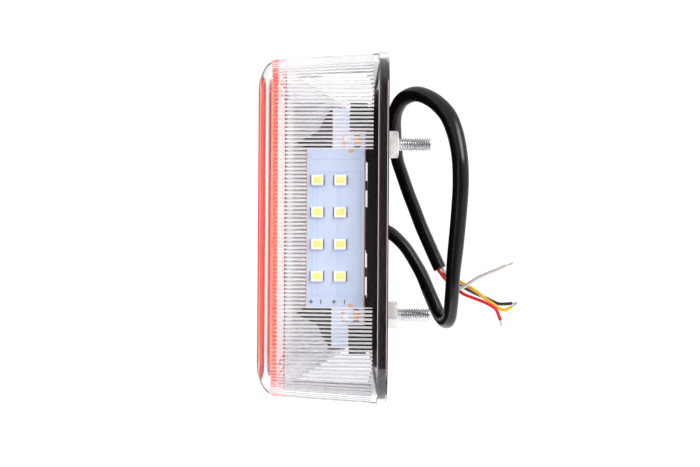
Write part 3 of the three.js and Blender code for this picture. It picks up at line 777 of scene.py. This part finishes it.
def make_strand(colour, start, tip):
    """Seven tinned wires, twisted and opening a little at the tip."""
    ahead = (tip - start).normalized()
    side = ahead.orthogonal().normalized()
    lift = ahead.cross(side)
    length = (tip - start).length
    wires = []
    for wire in range(7):
        spread = 0.0 if wire == 0 else 0.145 * MM
        points = []
        for step in range(13):
            share = step / 12
            angle = wire * math.pi / 3 + share * 3.2
            opening = spread * (1 + 0.7 * share * share)
            reach = length * share * (1 - 0.05 * (wire % 3) * share)
            points.append(start + ahead * reach + (side * math.cos(angle) + lift * math.sin(angle)) * opening)
        wires.append(swept("wire", points, lambda share: (0.075 * MM, 0.075 * MM), TINNED, steps=8))
    piece = joined(f"strand_{colour}_wires", wires)
    return place(piece, "lamp", "tinned_copper", f"strand_{colour}")


make_sheath()
for core_colour in CORE_POINTS:
    make_core(core_colour)

# ---------------------------------------------------------------- lens


def flute_cells(length):
    """Shares from 0 to 1 along a stretch of wall, with how far each is from its flute's middle."""
    count = max(1, round(length / FLUTE_PITCH))
    half = FLUTE_HALF / FLUTE_PITCH
    steps = [-0.5, -half, -0.8 * half, -0.43 * half, 0.0, 0.43 * half, 0.8 * half, half]
    return [((cell + 0.5 + u) / count, u * FLUTE_PITCH) for cell in range(count) for u in steps]


def lens_outline(half_y, half_z, radius):
    """(y, z, inward y, inward z, distance from the flute's middle, side) round the lens."""
    wide_y = WALL_HALF_Y - CORNER
    wide_z = WALL_HALF_Z - CORNER
    arc = math.pi / 2 * (CORNER - LENS_WALL)
    points = []
    for corner, (sy, sz) in enumerate(((1, 1), (-1, 1), (-1, -1), (1, -1))):
        for share, off in flute_cells(arc):
            angle = (corner + share) * math.pi / 2
            c, s = math.cos(angle), math.sin(angle)
            points.append((
                sy * (half_y - radius) + radius * c, sz * (half_z - radius) + radius * s, -c, -s, off,
                "corner" if sy < 0 else "far",
            ))
        if corner % 2 == 0:
            for share, off in flute_cells(2 * wide_y):
                y = (1 - 2 * share) * sy * (half_y - radius)
                points.append((y, sz * half_z, 0, -sz, off, "end" if y < END_FLUTES else "far"))
        else:
            for share, off in flute_cells(2 * wide_z):
                z = (1 - 2 * share) * sz * (half_z - radius)
                points.append((sy * half_y, z, -sy, 0, off, "window" if sy < 0 else "far"))
    return points


def flute_height(x, z, off, side):
    """How far a flute stands in from the wall, its ends rounded."""
    if side == "far":
        return 0.0
    rear = FLUTE_REAR
    if side == "window" and abs(z) < WINDOW_HALF:
        rear = WINDOW_FRONT
    end = min(rear - x, x - FLUTE_FRONT)
    if end <= 0:
        return 0.0
    past = max(0.0, FLUTE_HALF - end)
    left = 1 - (off / FLUTE_HALF) ** 2 - (past / FLUTE_HALF) ** 2
    return FLUTE_HEIGHT * math.sqrt(max(0.0, left))


def lens_ring(x, inset, fluted=False):
    """A ring inset from the widest wall. The corner's centre stays put while its radius can shrink."""
    half_y = WALL_HALF_Y - inset
    half_z = WALL_HALF_Z - inset
    radius = max(CORNER - inset, PANEL_CORNER)
    ring = []
    for y, z, in_y, in_z, off, side in lens_outline(half_y, half_z, radius):
        height = flute_height(x, z, off, side) if fluted else 0.0
        ring.append((x, y + in_y * height, z + in_z * height))
    return ring


def draft_inset(x):
    return DRAFT * (SKIRT_FRONT - x)


def edge_rings(steps):
    """(x, inset) round the elliptical front edge, from the flat face outwards."""
    rings = []
    for step in range(steps + 1):
        angle = step / steps * math.pi / 2
        x = lens_low.x + EDGE_DEPTH * (1 - math.cos(angle))
        rings.append((x, draft_inset(x) + EDGE_REACH * (1 - math.sin(angle))))
    return rings


def edge_inset(x):
    """Inset of the outer form at x, within its rounded front edge."""
    angle = math.acos(1 - (x - lens_low.x) / EDGE_DEPTH)
    return draft_inset(x) + EDGE_REACH * (1 - math.sin(angle))


def inner_edge():
    """(x, inset) round the inside of the front edge, one wall in from the outside along its normal."""
    steps = 20
    rings = []
    for step in range(steps + 1):
        angle = step / steps * math.pi / 2
        wall = LENS_FRONT_WALL + (LENS_WALL - LENS_FRONT_WALL) * min(1.0, 4 * step / steps)
        normal = Vector((math.cos(angle) / EDGE_DEPTH, math.sin(angle) / EDGE_REACH)).normalized()
        x = lens_low.x + EDGE_DEPTH * (1 - math.cos(angle)) + wall * normal.x
        rings.append((x, draft_inset(x) + EDGE_REACH * (1 - math.sin(angle)) + wall * normal.y))
    return rings


def inner_stations():
    """x places inside the wall from the skirt to the front edge, close together where flutes end."""
    ends = [0, 0.1, 0.3, 0.6, 1.0]
    xs = [SKIRT_FRONT, FLUTE_REAR + 0.2 * MM]
    xs += [FLUTE_REAR - FLUTE_HALF * e for e in ends]
    xs += [-12 * MM]
    xs += [WINDOW_FRONT + HAIR] + [WINDOW_FRONT - FLUTE_HALF * e for e in ends]
    xs += [-26 * MM]
    xs += [FLUTE_FRONT + FLUTE_HALF * e for e in reversed(ends)]
    return xs


def finish_lens_faces(piece, rings, stations):
    """Flutes scatter light and the skirt's two outer rims carry a painted pinkish glint; everything else is
    clear.
    """
    piece.data.materials.append(FLUTED)
    piece.data.materials.append(RIM_GLINT)
    size = len(rings[0])
    first = len(rings) - len(stations)
    flat = [lens_ring(x, inset) for x, inset in stations]
    raised = {
        (first + r) * size + i
        for r, ring in enumerate(flat) for i, point in enumerate(ring)
        if (Vector(point) - Vector(rings[first + r][i])).length > 0.02 * MM
    }
    # faces on the skirt's outer rims get the painted glint
    rim_reach = SKIRT_STEP * 0.3
    for face in piece.data.polygons:
        if raised.intersection(face.vertices):
            face.material_index = 1
        elif len(face.vertices) == 4:
            corners = [piece.data.vertices[v].co for v in face.vertices]
            xs = [corner.x for corner in corners]
            outside = all(
                abs(corner.y) > WALL_HALF_Y - rim_reach or abs(corner.z) > WALL_HALF_Z - rim_reach
                for corner in corners
            )
            front_rim = SKIRT_FRONT - HAIR < min(xs) and max(xs) < SKIRT_FRONT + SKIRT_STEP
            rear_rim = lens_high.x - SKIRT_STEP < min(xs)
            if outside and (front_rim or rear_rim):
                face.material_index = 2


def make_lens():
    """Clear shell: a seat for the red panel, a round front edge, drafted walls, a skirt, flutes inside."""
    face = panel_high.x + 0.05 * MM
    rings = [lens_ring(face, edge_inset(face))]
    rings += [lens_ring(x, inset) for x, inset in edge_rings(24) if x > face + HAIR]
    rings += [lens_ring(x, draft_inset(x)) for x in (-20 * MM, -10 * MM, SKIRT_FRONT)]
    lip = 0.16 * MM
    rings += [
        lens_ring(SKIRT_FRONT, -SKIRT_STEP + lip),
        lens_ring(SKIRT_FRONT + lip, -SKIRT_STEP),
        lens_ring(lens_high.x - lip, -SKIRT_STEP),
        lens_ring(lens_high.x, -SKIRT_STEP + lip),
        lens_ring(lens_high.x, -SKIRT_STEP + SKIRT_WALL - lip),
        lens_ring(lens_high.x - lip, -SKIRT_STEP + SKIRT_WALL),
        lens_ring(SKIRT_FRONT, -SKIRT_STEP + SKIRT_WALL),
    ]
    edge = inner_edge()

    def wall_inset(x):
        for (x0, inset0), (x1, inset1) in zip(edge, edge[1:]):
            if x0 <= x <= x1:
                return inset0 + (inset1 - inset0) * (x - x0) / (x1 - x0)
        return LENS_WALL + draft_inset(x)

    stations = [(x, wall_inset(x)) for x in inner_stations()]
    stations += [(x, i) for x, i in reversed(edge) if x < FLUTE_FRONT - 0.05 * MM]
    rings += [lens_ring(x, inset, fluted=True) for x, inset in stations]
    piece = loft("lens_shell", rings, CLEAR, smooth=28)
    finish_lens_faces(piece, rings, stations)
    place(piece, "lamp", "clear_lens", "outer_lens")


make_lens()

# ---------------------------------------------------------------- red pieces


def finish_rims(piece, finish, limit=0.9):
    """Gives the faces that look sideways, not along X, their own finish."""
    piece.data.materials.append(finish)
    for face in piece.data.polygons:
        if abs(face.normal.x) < limit:
            face.material_index = len(piece.data.materials) - 1


def make_front_panel():
    """The red front slice of the rounded form, over the clear shell."""
    rear = panel_high.x
    rings = [lens_ring(x, inset) for x, inset in edge_rings(40) if x < rear]
    rings.append(lens_ring(rear, edge_inset(rear)))
    piece = loft("red_front", rings, RED_PANEL, smooth=28)
    # The rims glow with painted light: crimson along the front, orange behind it
    finish_rims(piece, RED_PANEL_EDGE_GLOW, 0.995)
    piece.data.materials.append(RED_PANEL_RIM_GLOW)
    for face in piece.data.polygons:
        if face.material_index == 1 and face.center.x > lens_low.x + PANEL_LINE:
            face.material_index = 2
    place(piece, "lamp", "red_lens", "front_panel")


def pillow_plate(name, half_y, half_z, front, rear, finish):
    """A plate whose front is a grid of small pillow lenses."""
    across = round(2 * half_y / PILLOW) * PILLOW_STEPS
    up = round(2 * half_z / PILLOW) * PILLOW_STEPS

    def bulge(i):
        place_in_cell = 2 * (i % PILLOW_STEPS) / PILLOW_STEPS - 1
        return 1 - place_in_cell ** 2

    vertices = []
    for x, height in ((front, PILLOW_HEIGHT), (rear, 0.0)):
        for i in range(across + 1):
            for j in range(up + 1):
                y = half_y * (2 * i / across - 1)
                z = half_z * (2 * j / up - 1)
                vertices.append((x - height * bulge(i) * bulge(j), y, z))
    row = up + 1
    layer = (across + 1) * row
    faces = []
    for first in (0, layer):
        for i in range(across):
            for j in range(up):
                k = first + i * row + j
                faces.append((k, k + 1, k + row + 1, k + row))
    border = [i * row for i in range(across)] + [across * row + j for j in range(up)]
    border += [i * row + up for i in range(across, 0, -1)] + [j for j in range(up, 0, -1)]
    for a, b in zip(border, border[1:] + border[:1]):
        faces.append((a, b, b + layer, a + layer))
    return mesh_piece(name, vertices, faces, finish, 20)


def make_inner_lens():
    """The red inner lens: a plate of pillow lenses behind the front, and its brim as a separate ring."""
    half_y = inner_high.y - BRIM_INSET
    half_z = inner_high.z - BRIM_INSET
    rear = inner_high.x - BRIM_ADVANCE
    crown_rear = CROWN_FRONT + CROWN_THICKNESS
    # All of the inner lens gives off painted glow: pale on the plate, red on its pillows, orange and red on
    # the rims
    plate = pillow_plate("plate", CROWN_HALF_Y, CROWN_HALF_Z, CROWN_FRONT, crown_rear, PRISMATIC_GLOW)
    plate.data.materials.append(RED_PILLOWS_GLOW)
    for face in plate.data.polygons:
        if face.center.x < CROWN_FRONT + HAIR:
            face.material_index = 1
    finish_rims(plate, ORANGE_EDGE_GLOW)
    ring_front = rear - BRIM_THICKNESS
    ring = slab("ring", half_y, half_z, 7 * MM, ring_front, rear, PRISMATIC_GLOW, edge=0.12 * MM)
    hole = slab("hole", half_y - BRIM_WIDTH, half_z - BRIM_WIDTH, 6 * MM, ring_front - MM, inner_high.x + MM)
    shaped(ring, [hole], "DIFFERENCE")
    finish_rims(ring, RED_EDGE_GLOW)
    piece = joined("red_inner_lens", [plate, ring])
    smooth_by_angle(piece)
    place(piece, "lamp", "red_lens", "inner_lens")


# ---------------------------------------------------------------- base, grommet and reflector

RIM_WIDTH = 3.5 * MM
PANEL_RECESS = 1.1 * MM
BASE_PLATE = 2.2 * MM
BASE_CORNER = 8.4 * MM
PLATFORM_HALF_Y = 40.5 * MM
PLATFORM_HALF_Z = 37.2 * MM
PLATFORM_FRONT = -4 * MM
LEDGE_HEIGHT = 1.5 * MM
RIB_WIDTH = 1.6 * MM
STUD_PAD = 7 * MM
CABLE_PAD = 6.5 * MM
STUD_HOLE = 2.25 * MM
CABLE_HOLE = 3.1 * MM
GROMMET_FLANGE = 4.6 * MM


def make_base():
    """Black housing: a plate with a raised rim, ribs and pads at the back and a platform at the front."""
    half_y = base_high.y
    half_z = base_high.z
    base = slab("base", half_y, half_z, BASE_CORNER, -BASE_PLATE, 0, BLACK, edge=0.25 * MM, steps=16)
    recess = slab(
        "recess", half_y - RIM_WIDTH, half_z - RIM_WIDTH, BASE_CORNER - RIM_WIDTH, -PANEL_RECESS, MM,
        edge=0.05 * MM, steps=12,
    )
    shaped(base, [recess], "DIFFERENCE")
    rib_y = half_y - RIM_WIDTH / 2
    rib_z = half_z - RIM_WIDTH / 2
    rib_x = (-PANEL_RECESS - MM / 2, -0.12 * MM)
    adds = [block("rib", *rib_x, -RIB_WIDTH / 2, RIB_WIDTH / 2, -rib_z, rib_z)]
    for z in (STUD_Z, -STUD_Z):
        adds.append(block("rib", *rib_x, -rib_y, rib_y, z - RIB_WIDTH / 2, z + RIB_WIDTH / 2))
        adds.append(turned("pad", pad_profile(STUD_PAD, 0), 0, z))
    adds.append(turned("pad", pad_profile(CABLE_PAD, -PANEL_RECESS / 2), 0, 0))
    adds.append(slab(
        "platform", PLATFORM_HALF_Y, PLATFORM_HALF_Z, 5 * MM, PLATFORM_FRONT, -BASE_PLATE / 2, edge=0.2 * MM,
    ))
    ledge_y = plate_low.y - MM
    ledge_half = PLATFORM_HALF_Z - 5 * MM
    ledge_depth = (PLATFORM_FRONT + MM / 2, ledge_y, ledge_y + 3 * MM)
    adds.append(block("ledge", PLATFORM_FRONT - LEDGE_HEIGHT, *ledge_depth, -ledge_half, ledge_half))
    for z0, z1 in ((-ledge_half, -18.3 * MM), (-6.6 * MM, 5.5 * MM), (17.5 * MM, ledge_half)):
        adds.append(block("stop", PLATFORM_FRONT - LEDGE_HEIGHT - 0.3 * MM, *ledge_depth, z0, z1))
    for tool in adds:
        shaped(base, [tool], "UNION")
    cuts = [turned("hole", hole_profile(STUD_HOLE), 0, z, steps=32) for z in (STUD_Z, -STUD_Z)]
    cuts.append(turned("hole", hole_profile(CABLE_HOLE + 0.3 * MM), 0, 0, steps=40))
    shaped(base, cuts, "DIFFERENCE")
    base.data.materials.clear()
    base.data.materials.append(BLACK)
    base.name = "base_moulding"
    smooth_by_angle(base, 32)
    place(base, "lamp", "housing_black", "base_housing")


def hole_profile(radius):
    """A cutter right through the base."""
    return [(-8 * MM, 0), (-8 * MM, radius), (MM, radius), (MM, 0)]


def pad_profile(radius, top):
    edge = 0.15 * MM
    return [(-PANEL_RECESS - MM / 2, 0), (-PANEL_RECESS - MM / 2, radius), (top - edge, radius),
            (top, radius - edge), (top, 0)]


def make_grommet():
    inner = SHEATH_DIAMETER / 2 + 0.45 * MM
    front = PLATFORM_FRONT - MM
    back = -PANEL_RECESS / 2
    top = back + 0.5 * MM
    profile = [
        (front, inner), (front, GROMMET_FLANGE - 0.6 * MM), (PLATFORM_FRONT - 0.1 * MM, GROMMET_FLANGE),
        (PLATFORM_FRONT - 0.1 * MM, CABLE_HOLE), (back + 0.05 * MM, CABLE_HOLE),
        (back + 0.05 * MM, GROMMET_FLANGE),
        (top - 0.15 * MM, GROMMET_FLANGE - 0.15 * MM), (top, GROMMET_FLANGE - 0.6 * MM), (top, inner),
        (front, inner),
    ]
    piece = turned("grommet", profile, 0, 0, RUBBER)
    place(piece, "lamp", "rubber_black", "cable_grommet")


# ---------------------------------------------------------------- boards

SOLDER_X = -10.9 * MM


def extruded(name, outline, y0, y1, finish=None):
    """A flat outline of (x, z) points made solid from y0 to y1."""
    rings = [[(x, y, z) for x, z in outline] for y in (y0, y1)]
    return loft(name, rings, finish, smooth=20)


def mirrored(upper):
    return upper + [(x, -z) for x, z in reversed(upper)]


def make_plate_board():
    """Brown laminate with a white mask that stops short of the long edges, tracks and polarity marks."""
    low, high = plate_low, plate_high
    half = 21.3 * MM
    shoulder = (-14.9 * MM, 25.8 * MM)
    tab_rear, tab_half = -10.3 * MM, 31.5 * MM
    border = 0.32 * MM
    mask_y = low.y - 0.03 * MM

    def outline(edge):
        return mirrored([
            (high.x - edge, shoulder[1] - edge / 3), (tab_rear - edge / 3, shoulder[1] - edge / 3),
            (tab_rear - edge / 3, tab_half - edge / 3), (shoulder[0] + edge / 3, tab_half - edge / 3),
            (shoulder[0] + edge / 3, half - edge / 3), (low.x + edge, half - edge / 3),
        ])

    parts = [
        extruded("laminate", outline(0), low.y, high.y, LAMINATE),
        extruded("mask", outline(border), mask_y, low.y + 0.01 * MM, MASK),
    ]
    track_y = (mask_y - 0.012 * MM, mask_y + 0.005 * MM)

    def strip(x0, x1, z0, z1, finish):
        return block("strip", x0, x1, *track_y, z0, z1, finish)

    thin = 0.11 * MM
    for z in (18.3 * MM, 14.9 * MM, -18.0 * MM):
        parts.append(strip(-20.4 * MM, -7.2 * MM, z - thin, z + thin, TRACE))
    for x in (-20.1 * MM, -18.9 * MM, -13.5 * MM, -12.7 * MM, -7.3 * MM):
        parts.append(strip(x - thin, x + thin, -18 * MM, 14.9 * MM, TRACE))
    mark_z = -19.55 * MM
    arm, line = 0.6 * MM, 0.12 * MM
    for i, x in enumerate((-20.3 * MM, -17.7 * MM, -14.2 * MM, -11.4 * MM)):
        parts.append(strip(x - line, x + line, mark_z - arm, mark_z + arm, INK))
        if i % 2 == 0:
            parts.append(strip(x - arm, x + arm, mark_z - line, mark_z + line, INK))
    for side in (1, -1):
        pad_z = sorted((side * 21.6 * MM, side * 24.7 * MM))
        parts.append(strip(SOLDER_X - 1.4 * MM, SOLDER_X - 0.5 * MM, *pad_z, COPPER))
        parts.append(flux_stain(SOLDER_X + 1.0 * MM, side * 20.6 * MM, mask_y, side))
    piece = joined("plate_circuit_board", parts)
    place(piece, "lamp", "board_white", "plate_board")


def flux_stain(x, z, y, side):
    """A thin uneven pool of dried flux beside the joint."""
    rings = []
    for lift, grow in ((0.004 * MM, 1.0), (-0.02 * MM, 0.8)):
        ring = []
        for i in range(24):
            angle = 2 * math.pi * i / 24
            radius = (0.66 + 0.05 * math.sin(3 * angle + side)) * MM * grow
            ring.append((x + radius * 1.25 * math.cos(angle), y + lift, z + radius * math.sin(angle)))
        rings.append(ring)
    return loft("stain", rings, FLUX)


def led(name, finish):
    """An LED package lying on z = 0 and facing +Z: white body, sunk phosphor window, two end terminals."""
    length, width, height = 3.2 * MM, 2.8 * MM, 0.66 * MM
    body = block("body", -length / 2, length / 2, -width / 2, width / 2, 0.04 * MM, height, LED_WHITE)
    round_edges(body, 0.07 * MM)
    opening = (-1.2 * MM, 1.2 * MM, -0.95 * MM, 0.95 * MM)
    window = block("window", *opening, height - 0.12 * MM, height + MM, LED_WHITE)
    round_edges(window, 0.25 * MM, 3)
    shaped(body, [window], "DIFFERENCE")
    filling = (-1.19 * MM, 1.19 * MM, -0.94 * MM, 0.94 * MM)
    glow = block("glow", *filling, height - 0.2 * MM, height - 0.05 * MM, finish)
    round_edges(glow, 0.05 * MM)
    parts = [body, glow]
    for side in (1, -1):
        x0 = side * (length / 2 - 0.3 * MM)
        x1 = side * 1.75 * MM
        terminal = sorted((x0, x1))
        parts.append(block("terminal", *terminal, -1.15 * MM, 1.15 * MM, 0.0, 0.22 * MM, TINNED))
        fillet = sorted((x1, x1 + side * 0.1 * MM))
        parts.append(block("joint", *fillet, -1.38 * MM, 1.38 * MM, 0.0, 0.3 * MM, COMPONENT))
    piece = joined(name, parts)
    return smooth_by_angle(piece)


def turn_mesh(piece, matrix):
    piece.data.transform(matrix)
    return piece


def make_leds():
    """Eight white LEDs look out of the window; nine red and three amber ones look out of the front."""
    window_side = Matrix.Rotation(math.radians(90), 4, "X")
    front_side = Matrix.Rotation(math.radians(-90), 4, "Y")
    finishes = {"plate": PHOSPHOR, "stop": PHOSPHOR_RED, "turn": PHOSPHOR_AMBER}
    pattern = {kind: led(kind, finish) for kind, finish in finishes.items()}
    for node in sorted(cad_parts):
        kind = node.split("_led_")[0]
        if "_led_" not in node:
            continue
        low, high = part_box(node)
        middle = (low + high) / 2
        piece = link(bpy.data.objects.new(f"{node}_package", pattern[kind].data.copy()))
        if kind == "plate":
            middle.y = high.y
            turn_mesh(piece, Matrix.Translation(middle) @ window_side)
        else:
            middle.x = high.x
            turn_mesh(piece, Matrix.Translation(middle) @ front_side)
        place(piece, "lamp", "led_package", node)
    for shape in pattern.values():
        bpy.data.objects.remove(shape)


def make_resistor(place_name):
    """A tan ceramic block with dark bands at both ends, painted shade for the shadows there."""
    low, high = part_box(f"plate_resistor_{place_name}")
    shaded_end = 0.32 * MM
    body = block(
        "body", low.x + 0.05 * MM, high.x - 0.05 * MM, low.y + 0.04 * MM, high.y, low.z + shaded_end / 2,
        high.z - shaded_end / 2, RESISTOR,
    )
    round_edges(body, 0.06 * MM)
    # dark bands at the two ends, painted shade
    shaded_ends = []
    for z0, z1 in ((low.z, low.z + shaded_end), (high.z - shaded_end, high.z)):
        shaded_ends.append(round_edges(block("shaded_end", low.x, high.x, low.y, high.y, z0, z1, COMPONENT), 0.1 * MM))
    piece = joined(f"plate_resistor_{place_name}_body", [body, *shaded_ends])
    smooth_by_angle(piece)
    place(piece, "lamp", "component_black", f"plate_resistor_{place_name}")


def make_solder_joint(place_name):
    """A shiny dome of solder, a little lopsided."""
    low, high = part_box(f"solder_joint_{place_name}")
    middle = (low + high) / 2
    radius = (high.x - low.x) / 2 * 1.15
    height = high.y - low.y
    side = 1 if middle.z > 0 else -1
    rings = []
    for step in range(9):
        angle = step / 9 * math.pi / 2
        lift = height * math.sin(angle)
        spread = radius * math.cos(angle)
        rings.append([
            (
                middle.x + spread * (1 + 0.05 * math.sin(3 * t + side)) * math.cos(t) + 0.08 * lift,
                high.y - lift,
                middle.z + spread * 0.96 * math.sin(t),
            )
            for t in (2 * math.pi * k / 28 for k in range(28))
        ])
    piece = loft(f"solder_joint_{place_name}_dome", rings, SOLDER, smooth=60)
    place(piece, "lamp", "solder", f"solder_joint_{place_name}")


# ---------------------------------------------------------------- studs, nuts and washers

THREAD_PITCH = 0.7 * MM
THREAD_DEPTH = 0.4 * MM
ROOT_SHARE = 0.72
NUT_FLATS = 7 * MM
NUT_TURNS = {"upper": 11.7, "lower": -15.0}


def thread_radius(major, x, angle):
    """A 60 degree thread with a narrow crest and root."""
    share = (x / THREAD_PITCH - angle / (2 * math.pi)) % 1.0
    rise = min(1.0, max(0.0, (abs(share - 0.5) * 2 - 0.1) / 0.8))
    return major - THREAD_DEPTH * rise


def make_stud(place_name):
    low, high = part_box(f"{place_name}_stud")
    z = STUD_Z if place_name == "upper" else -STUD_Z
    major = 1.95 * MM
    start = -3.2 * MM
    steps = 36
    rings = []
    count = round((high.x - start) / (THREAD_PITCH / 10))
    for i in range(count + 1):
        x = start + (high.x - start) * i / count
        limit = major - max(0.0, x - (high.x - 0.45 * MM))
        ring = []
        for k in range(steps):
            angle = 2 * math.pi * k / steps
            radius = min(limit, thread_radius(major, x, angle))
            ring.append((x, radius * math.cos(angle), z + radius * math.sin(angle)))
        rings.append(ring)
    shank = loft("shank", rings, ZINC, smooth=25)
    # the thread roots get the darker finish, painted shade in the grooves
    shank.data.materials.append(THREAD_ROOT_SHADE)
    for face in shank.data.polygons:
        out = math.hypot(face.center.y, face.center.z - z)
        if out < major - ROOT_SHARE * THREAD_DEPTH and face.center.x < high.x - MM / 2:
            face.material_index = 1
    head_front = low.x
    head_rear = PLATFORM_FRONT - 0.15 * MM
    head = hexagon("head", NUT_FLATS, head_front, head_rear, z, 0.0)
    ends = (head_rear - MM, start + HAIR)
    profile = [(ends[0], 0), (ends[0], major), (ends[1], major), (ends[1], 0)]
    neck = turned("neck", profile, 0, z, ZINC)
    piece = joined(f"{place_name}_threaded_stud", [shank, head, neck])
    smooth_by_angle(piece, 25)
    place(piece, "lamp", "zinc_plated", f"{place_name}_stud")


def hexagon(name, flats, x0, x1, z, turn):
    """A hexagonal prism about the X direction with its outer corners turned off."""
    corner = flats / math.sqrt(3)
    rings = [[(x, corner * math.cos(a), z + corner * math.sin(a))
              for a in (math.radians(60 * k + turn) for k in range(6))] for x in (x0, x1)]
    prism = loft(name, rings, ZINC)
    fall = corner - flats / 2
    wide = corner + 0.02 * MM
    profile = [(x0, 0), (x0, flats / 2 * 0.98), (x0 + fall * 0.6, wide), (x1 - fall * 0.6, wide),
               (x1, flats / 2 * 0.98), (x1, 0)]
    shaped(prism, [turned("round", profile, 0, z)], "INTERSECT")
    prism.data.materials.clear()
    prism.data.materials.append(ZINC)
    return round_edges(prism, 0.06 * MM, 2, 25)


def make_nut(place_name):
    z = STUD_Z if place_name == "upper" else -STUD_Z
    low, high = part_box(f"{place_name}_nut")
    # the hexagon's corners are on the Z line at no turn, as the nut's solid has them
    nut = hexagon("nut", NUT_FLATS, low.x, high.x, z, 90 + NUT_TURNS[place_name])
    mouth = 2.35 * MM
    bore = 2.1 * MM
    profile = [(low.x - MM, 0), (low.x - MM, mouth), (low.x, mouth), (low.x + 0.3 * MM, bore),
               (high.x - 0.3 * MM, bore), (high.x, mouth), (high.x + MM, mouth), (high.x + MM, 0)]
    shaped(nut, [turned("bore", profile, 0, z)], "DIFFERENCE")
    nut.data.materials.clear()
    nut.data.materials.append(NUT_ZINC)
    nut.name = f"{place_name}_hex_nut"
    smooth_by_angle(nut, 25)
    place(nut, f"{place_name}_nut", "zinc_plated", f"{place_name}_nut")


def make_washer(place_name):
    z = STUD_Z if place_name == "upper" else -STUD_Z
    low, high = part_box(f"{place_name}_washer")
    outer = (high.z - low.z) / 2
    inner = 2.2 * MM
    edge = 0.12 * MM
    profile = [
        (low.x, inner + edge), (low.x + edge, inner), (high.x - edge, inner), (high.x, inner + edge),
        (high.x, outer - edge), (high.x - edge, outer), (low.x + edge, outer), (low.x, outer - edge),
        (low.x, inner + edge),
    ]
    piece = turned(f"{place_name}_flat_washer", profile, 0, z, ZINC, steps=56)
    place(piece, f"{place_name}_washer", "zinc_plated", f"{place_name}_washer")


# ---------------------------------------------------------------- frame solids that stay, with their finishes

KEPT = {
    "lens_seal": RUBBER,
    "reflector": METALLISED,
    "main_board": MASK,
    "board_bracket": BLACK,
    **{name: COMPONENT for name in ("rectifier_diode", "surge_diode", "stop_resistor", "turn_resistor")},
    **{f"board_screw_{number}": ZINC for number in range(1, 5)},
}


def finish_kept_nodes():
    for name, finish in KEPT.items():
        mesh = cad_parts[name].data
        mesh.materials.clear()
        mesh.materials.append(finish)


make_front_panel()
make_inner_lens()
make_base()
make_grommet()
make_plate_board()
make_leds()
for end in ("upper", "lower"):
    make_resistor(end)
    make_solder_joint(end)
    make_stud(end)
    make_nut(end)
    make_washer(end)
finish_kept_nodes()

# ---------------------------------------------------------------- floor, lamps and sky


def make_stage():
    """A plain pale floor well below the lamp, which hangs by its studs."""
    size = 3.0
    height = -0.3
    floor = mesh_piece(
        "floor", [(-size, -size, height), (size, -size, height), (size, size, height), (-size, size, height)],
        [(0, 1, 2, 3)],
    )
    floor.data.materials.append(new_finish(
        "floor_paper", Base_Color=(0.9, 0.9, 0.9, 1), Roughness=0.9, Emission_Color=(1, 1, 1, 1),
        Emission_Strength=0.5,
    ))


def area_light(name, place_at, size, power):
    """A rectangular lamp that looks at the middle of the mounting plane."""
    data = bpy.data.lights.new(name, "AREA")
    data.shape = "RECTANGLE"
    data.size, data.size_y = size
    data.energy = power
    light = link(bpy.data.objects.new(name, data))
    light.location = place_at
    light.rotation_euler = (-Vector(place_at)).to_track_quat("-Z", "Y").to_euler()


# Sky brightness from straight behind the camera (0) to straight ahead (1)
SKY_STEPS = [(0.0, 0.05), (0.035, 0.09), (0.12, 0.5), (0.4, 0.8), (0.6, 1.0)]
SKY_STRENGTH = 1.08
SKY_BELOW = 0.35


def make_sky():
    """White all round but for a dark patch behind the camera, so that glossy faces keep their colour."""
    world = bpy.data.worlds.new("studio")
    bpy.context.scene.world = world
    world.use_nodes = True
    tree = world.node_tree
    where = tree.nodes.new("ShaderNodeTexCoord")
    split = tree.nodes.new("ShaderNodeSeparateXYZ")
    tree.links.new(where.outputs["Generated"], split.inputs["Vector"])
    strength = ramp(world, ranged(tree, split.outputs["Y"], -1, 1), *SKY_STEPS)
    most = ranged(tree, split.outputs["Z"], -0.7, -0.12, SKY_BELOW, SKY_STRENGTH)
    tree.links.new(ranged(tree, strength, 0, 1, 0, most), tree.nodes["Background"].inputs["Strength"])
    tree.nodes["Background"].inputs["Color"].default_value = (1, 1, 1, 1)


make_stage()
make_sky()
area_light("key", (0.5, -0.6, 0.7), (0.5, 0.5), 5)
area_light("fill", (-0.6, -0.7, 0.1), (0.4, 0.6), 2)
bpy.context.scene.view_settings.view_transform = "Standard"
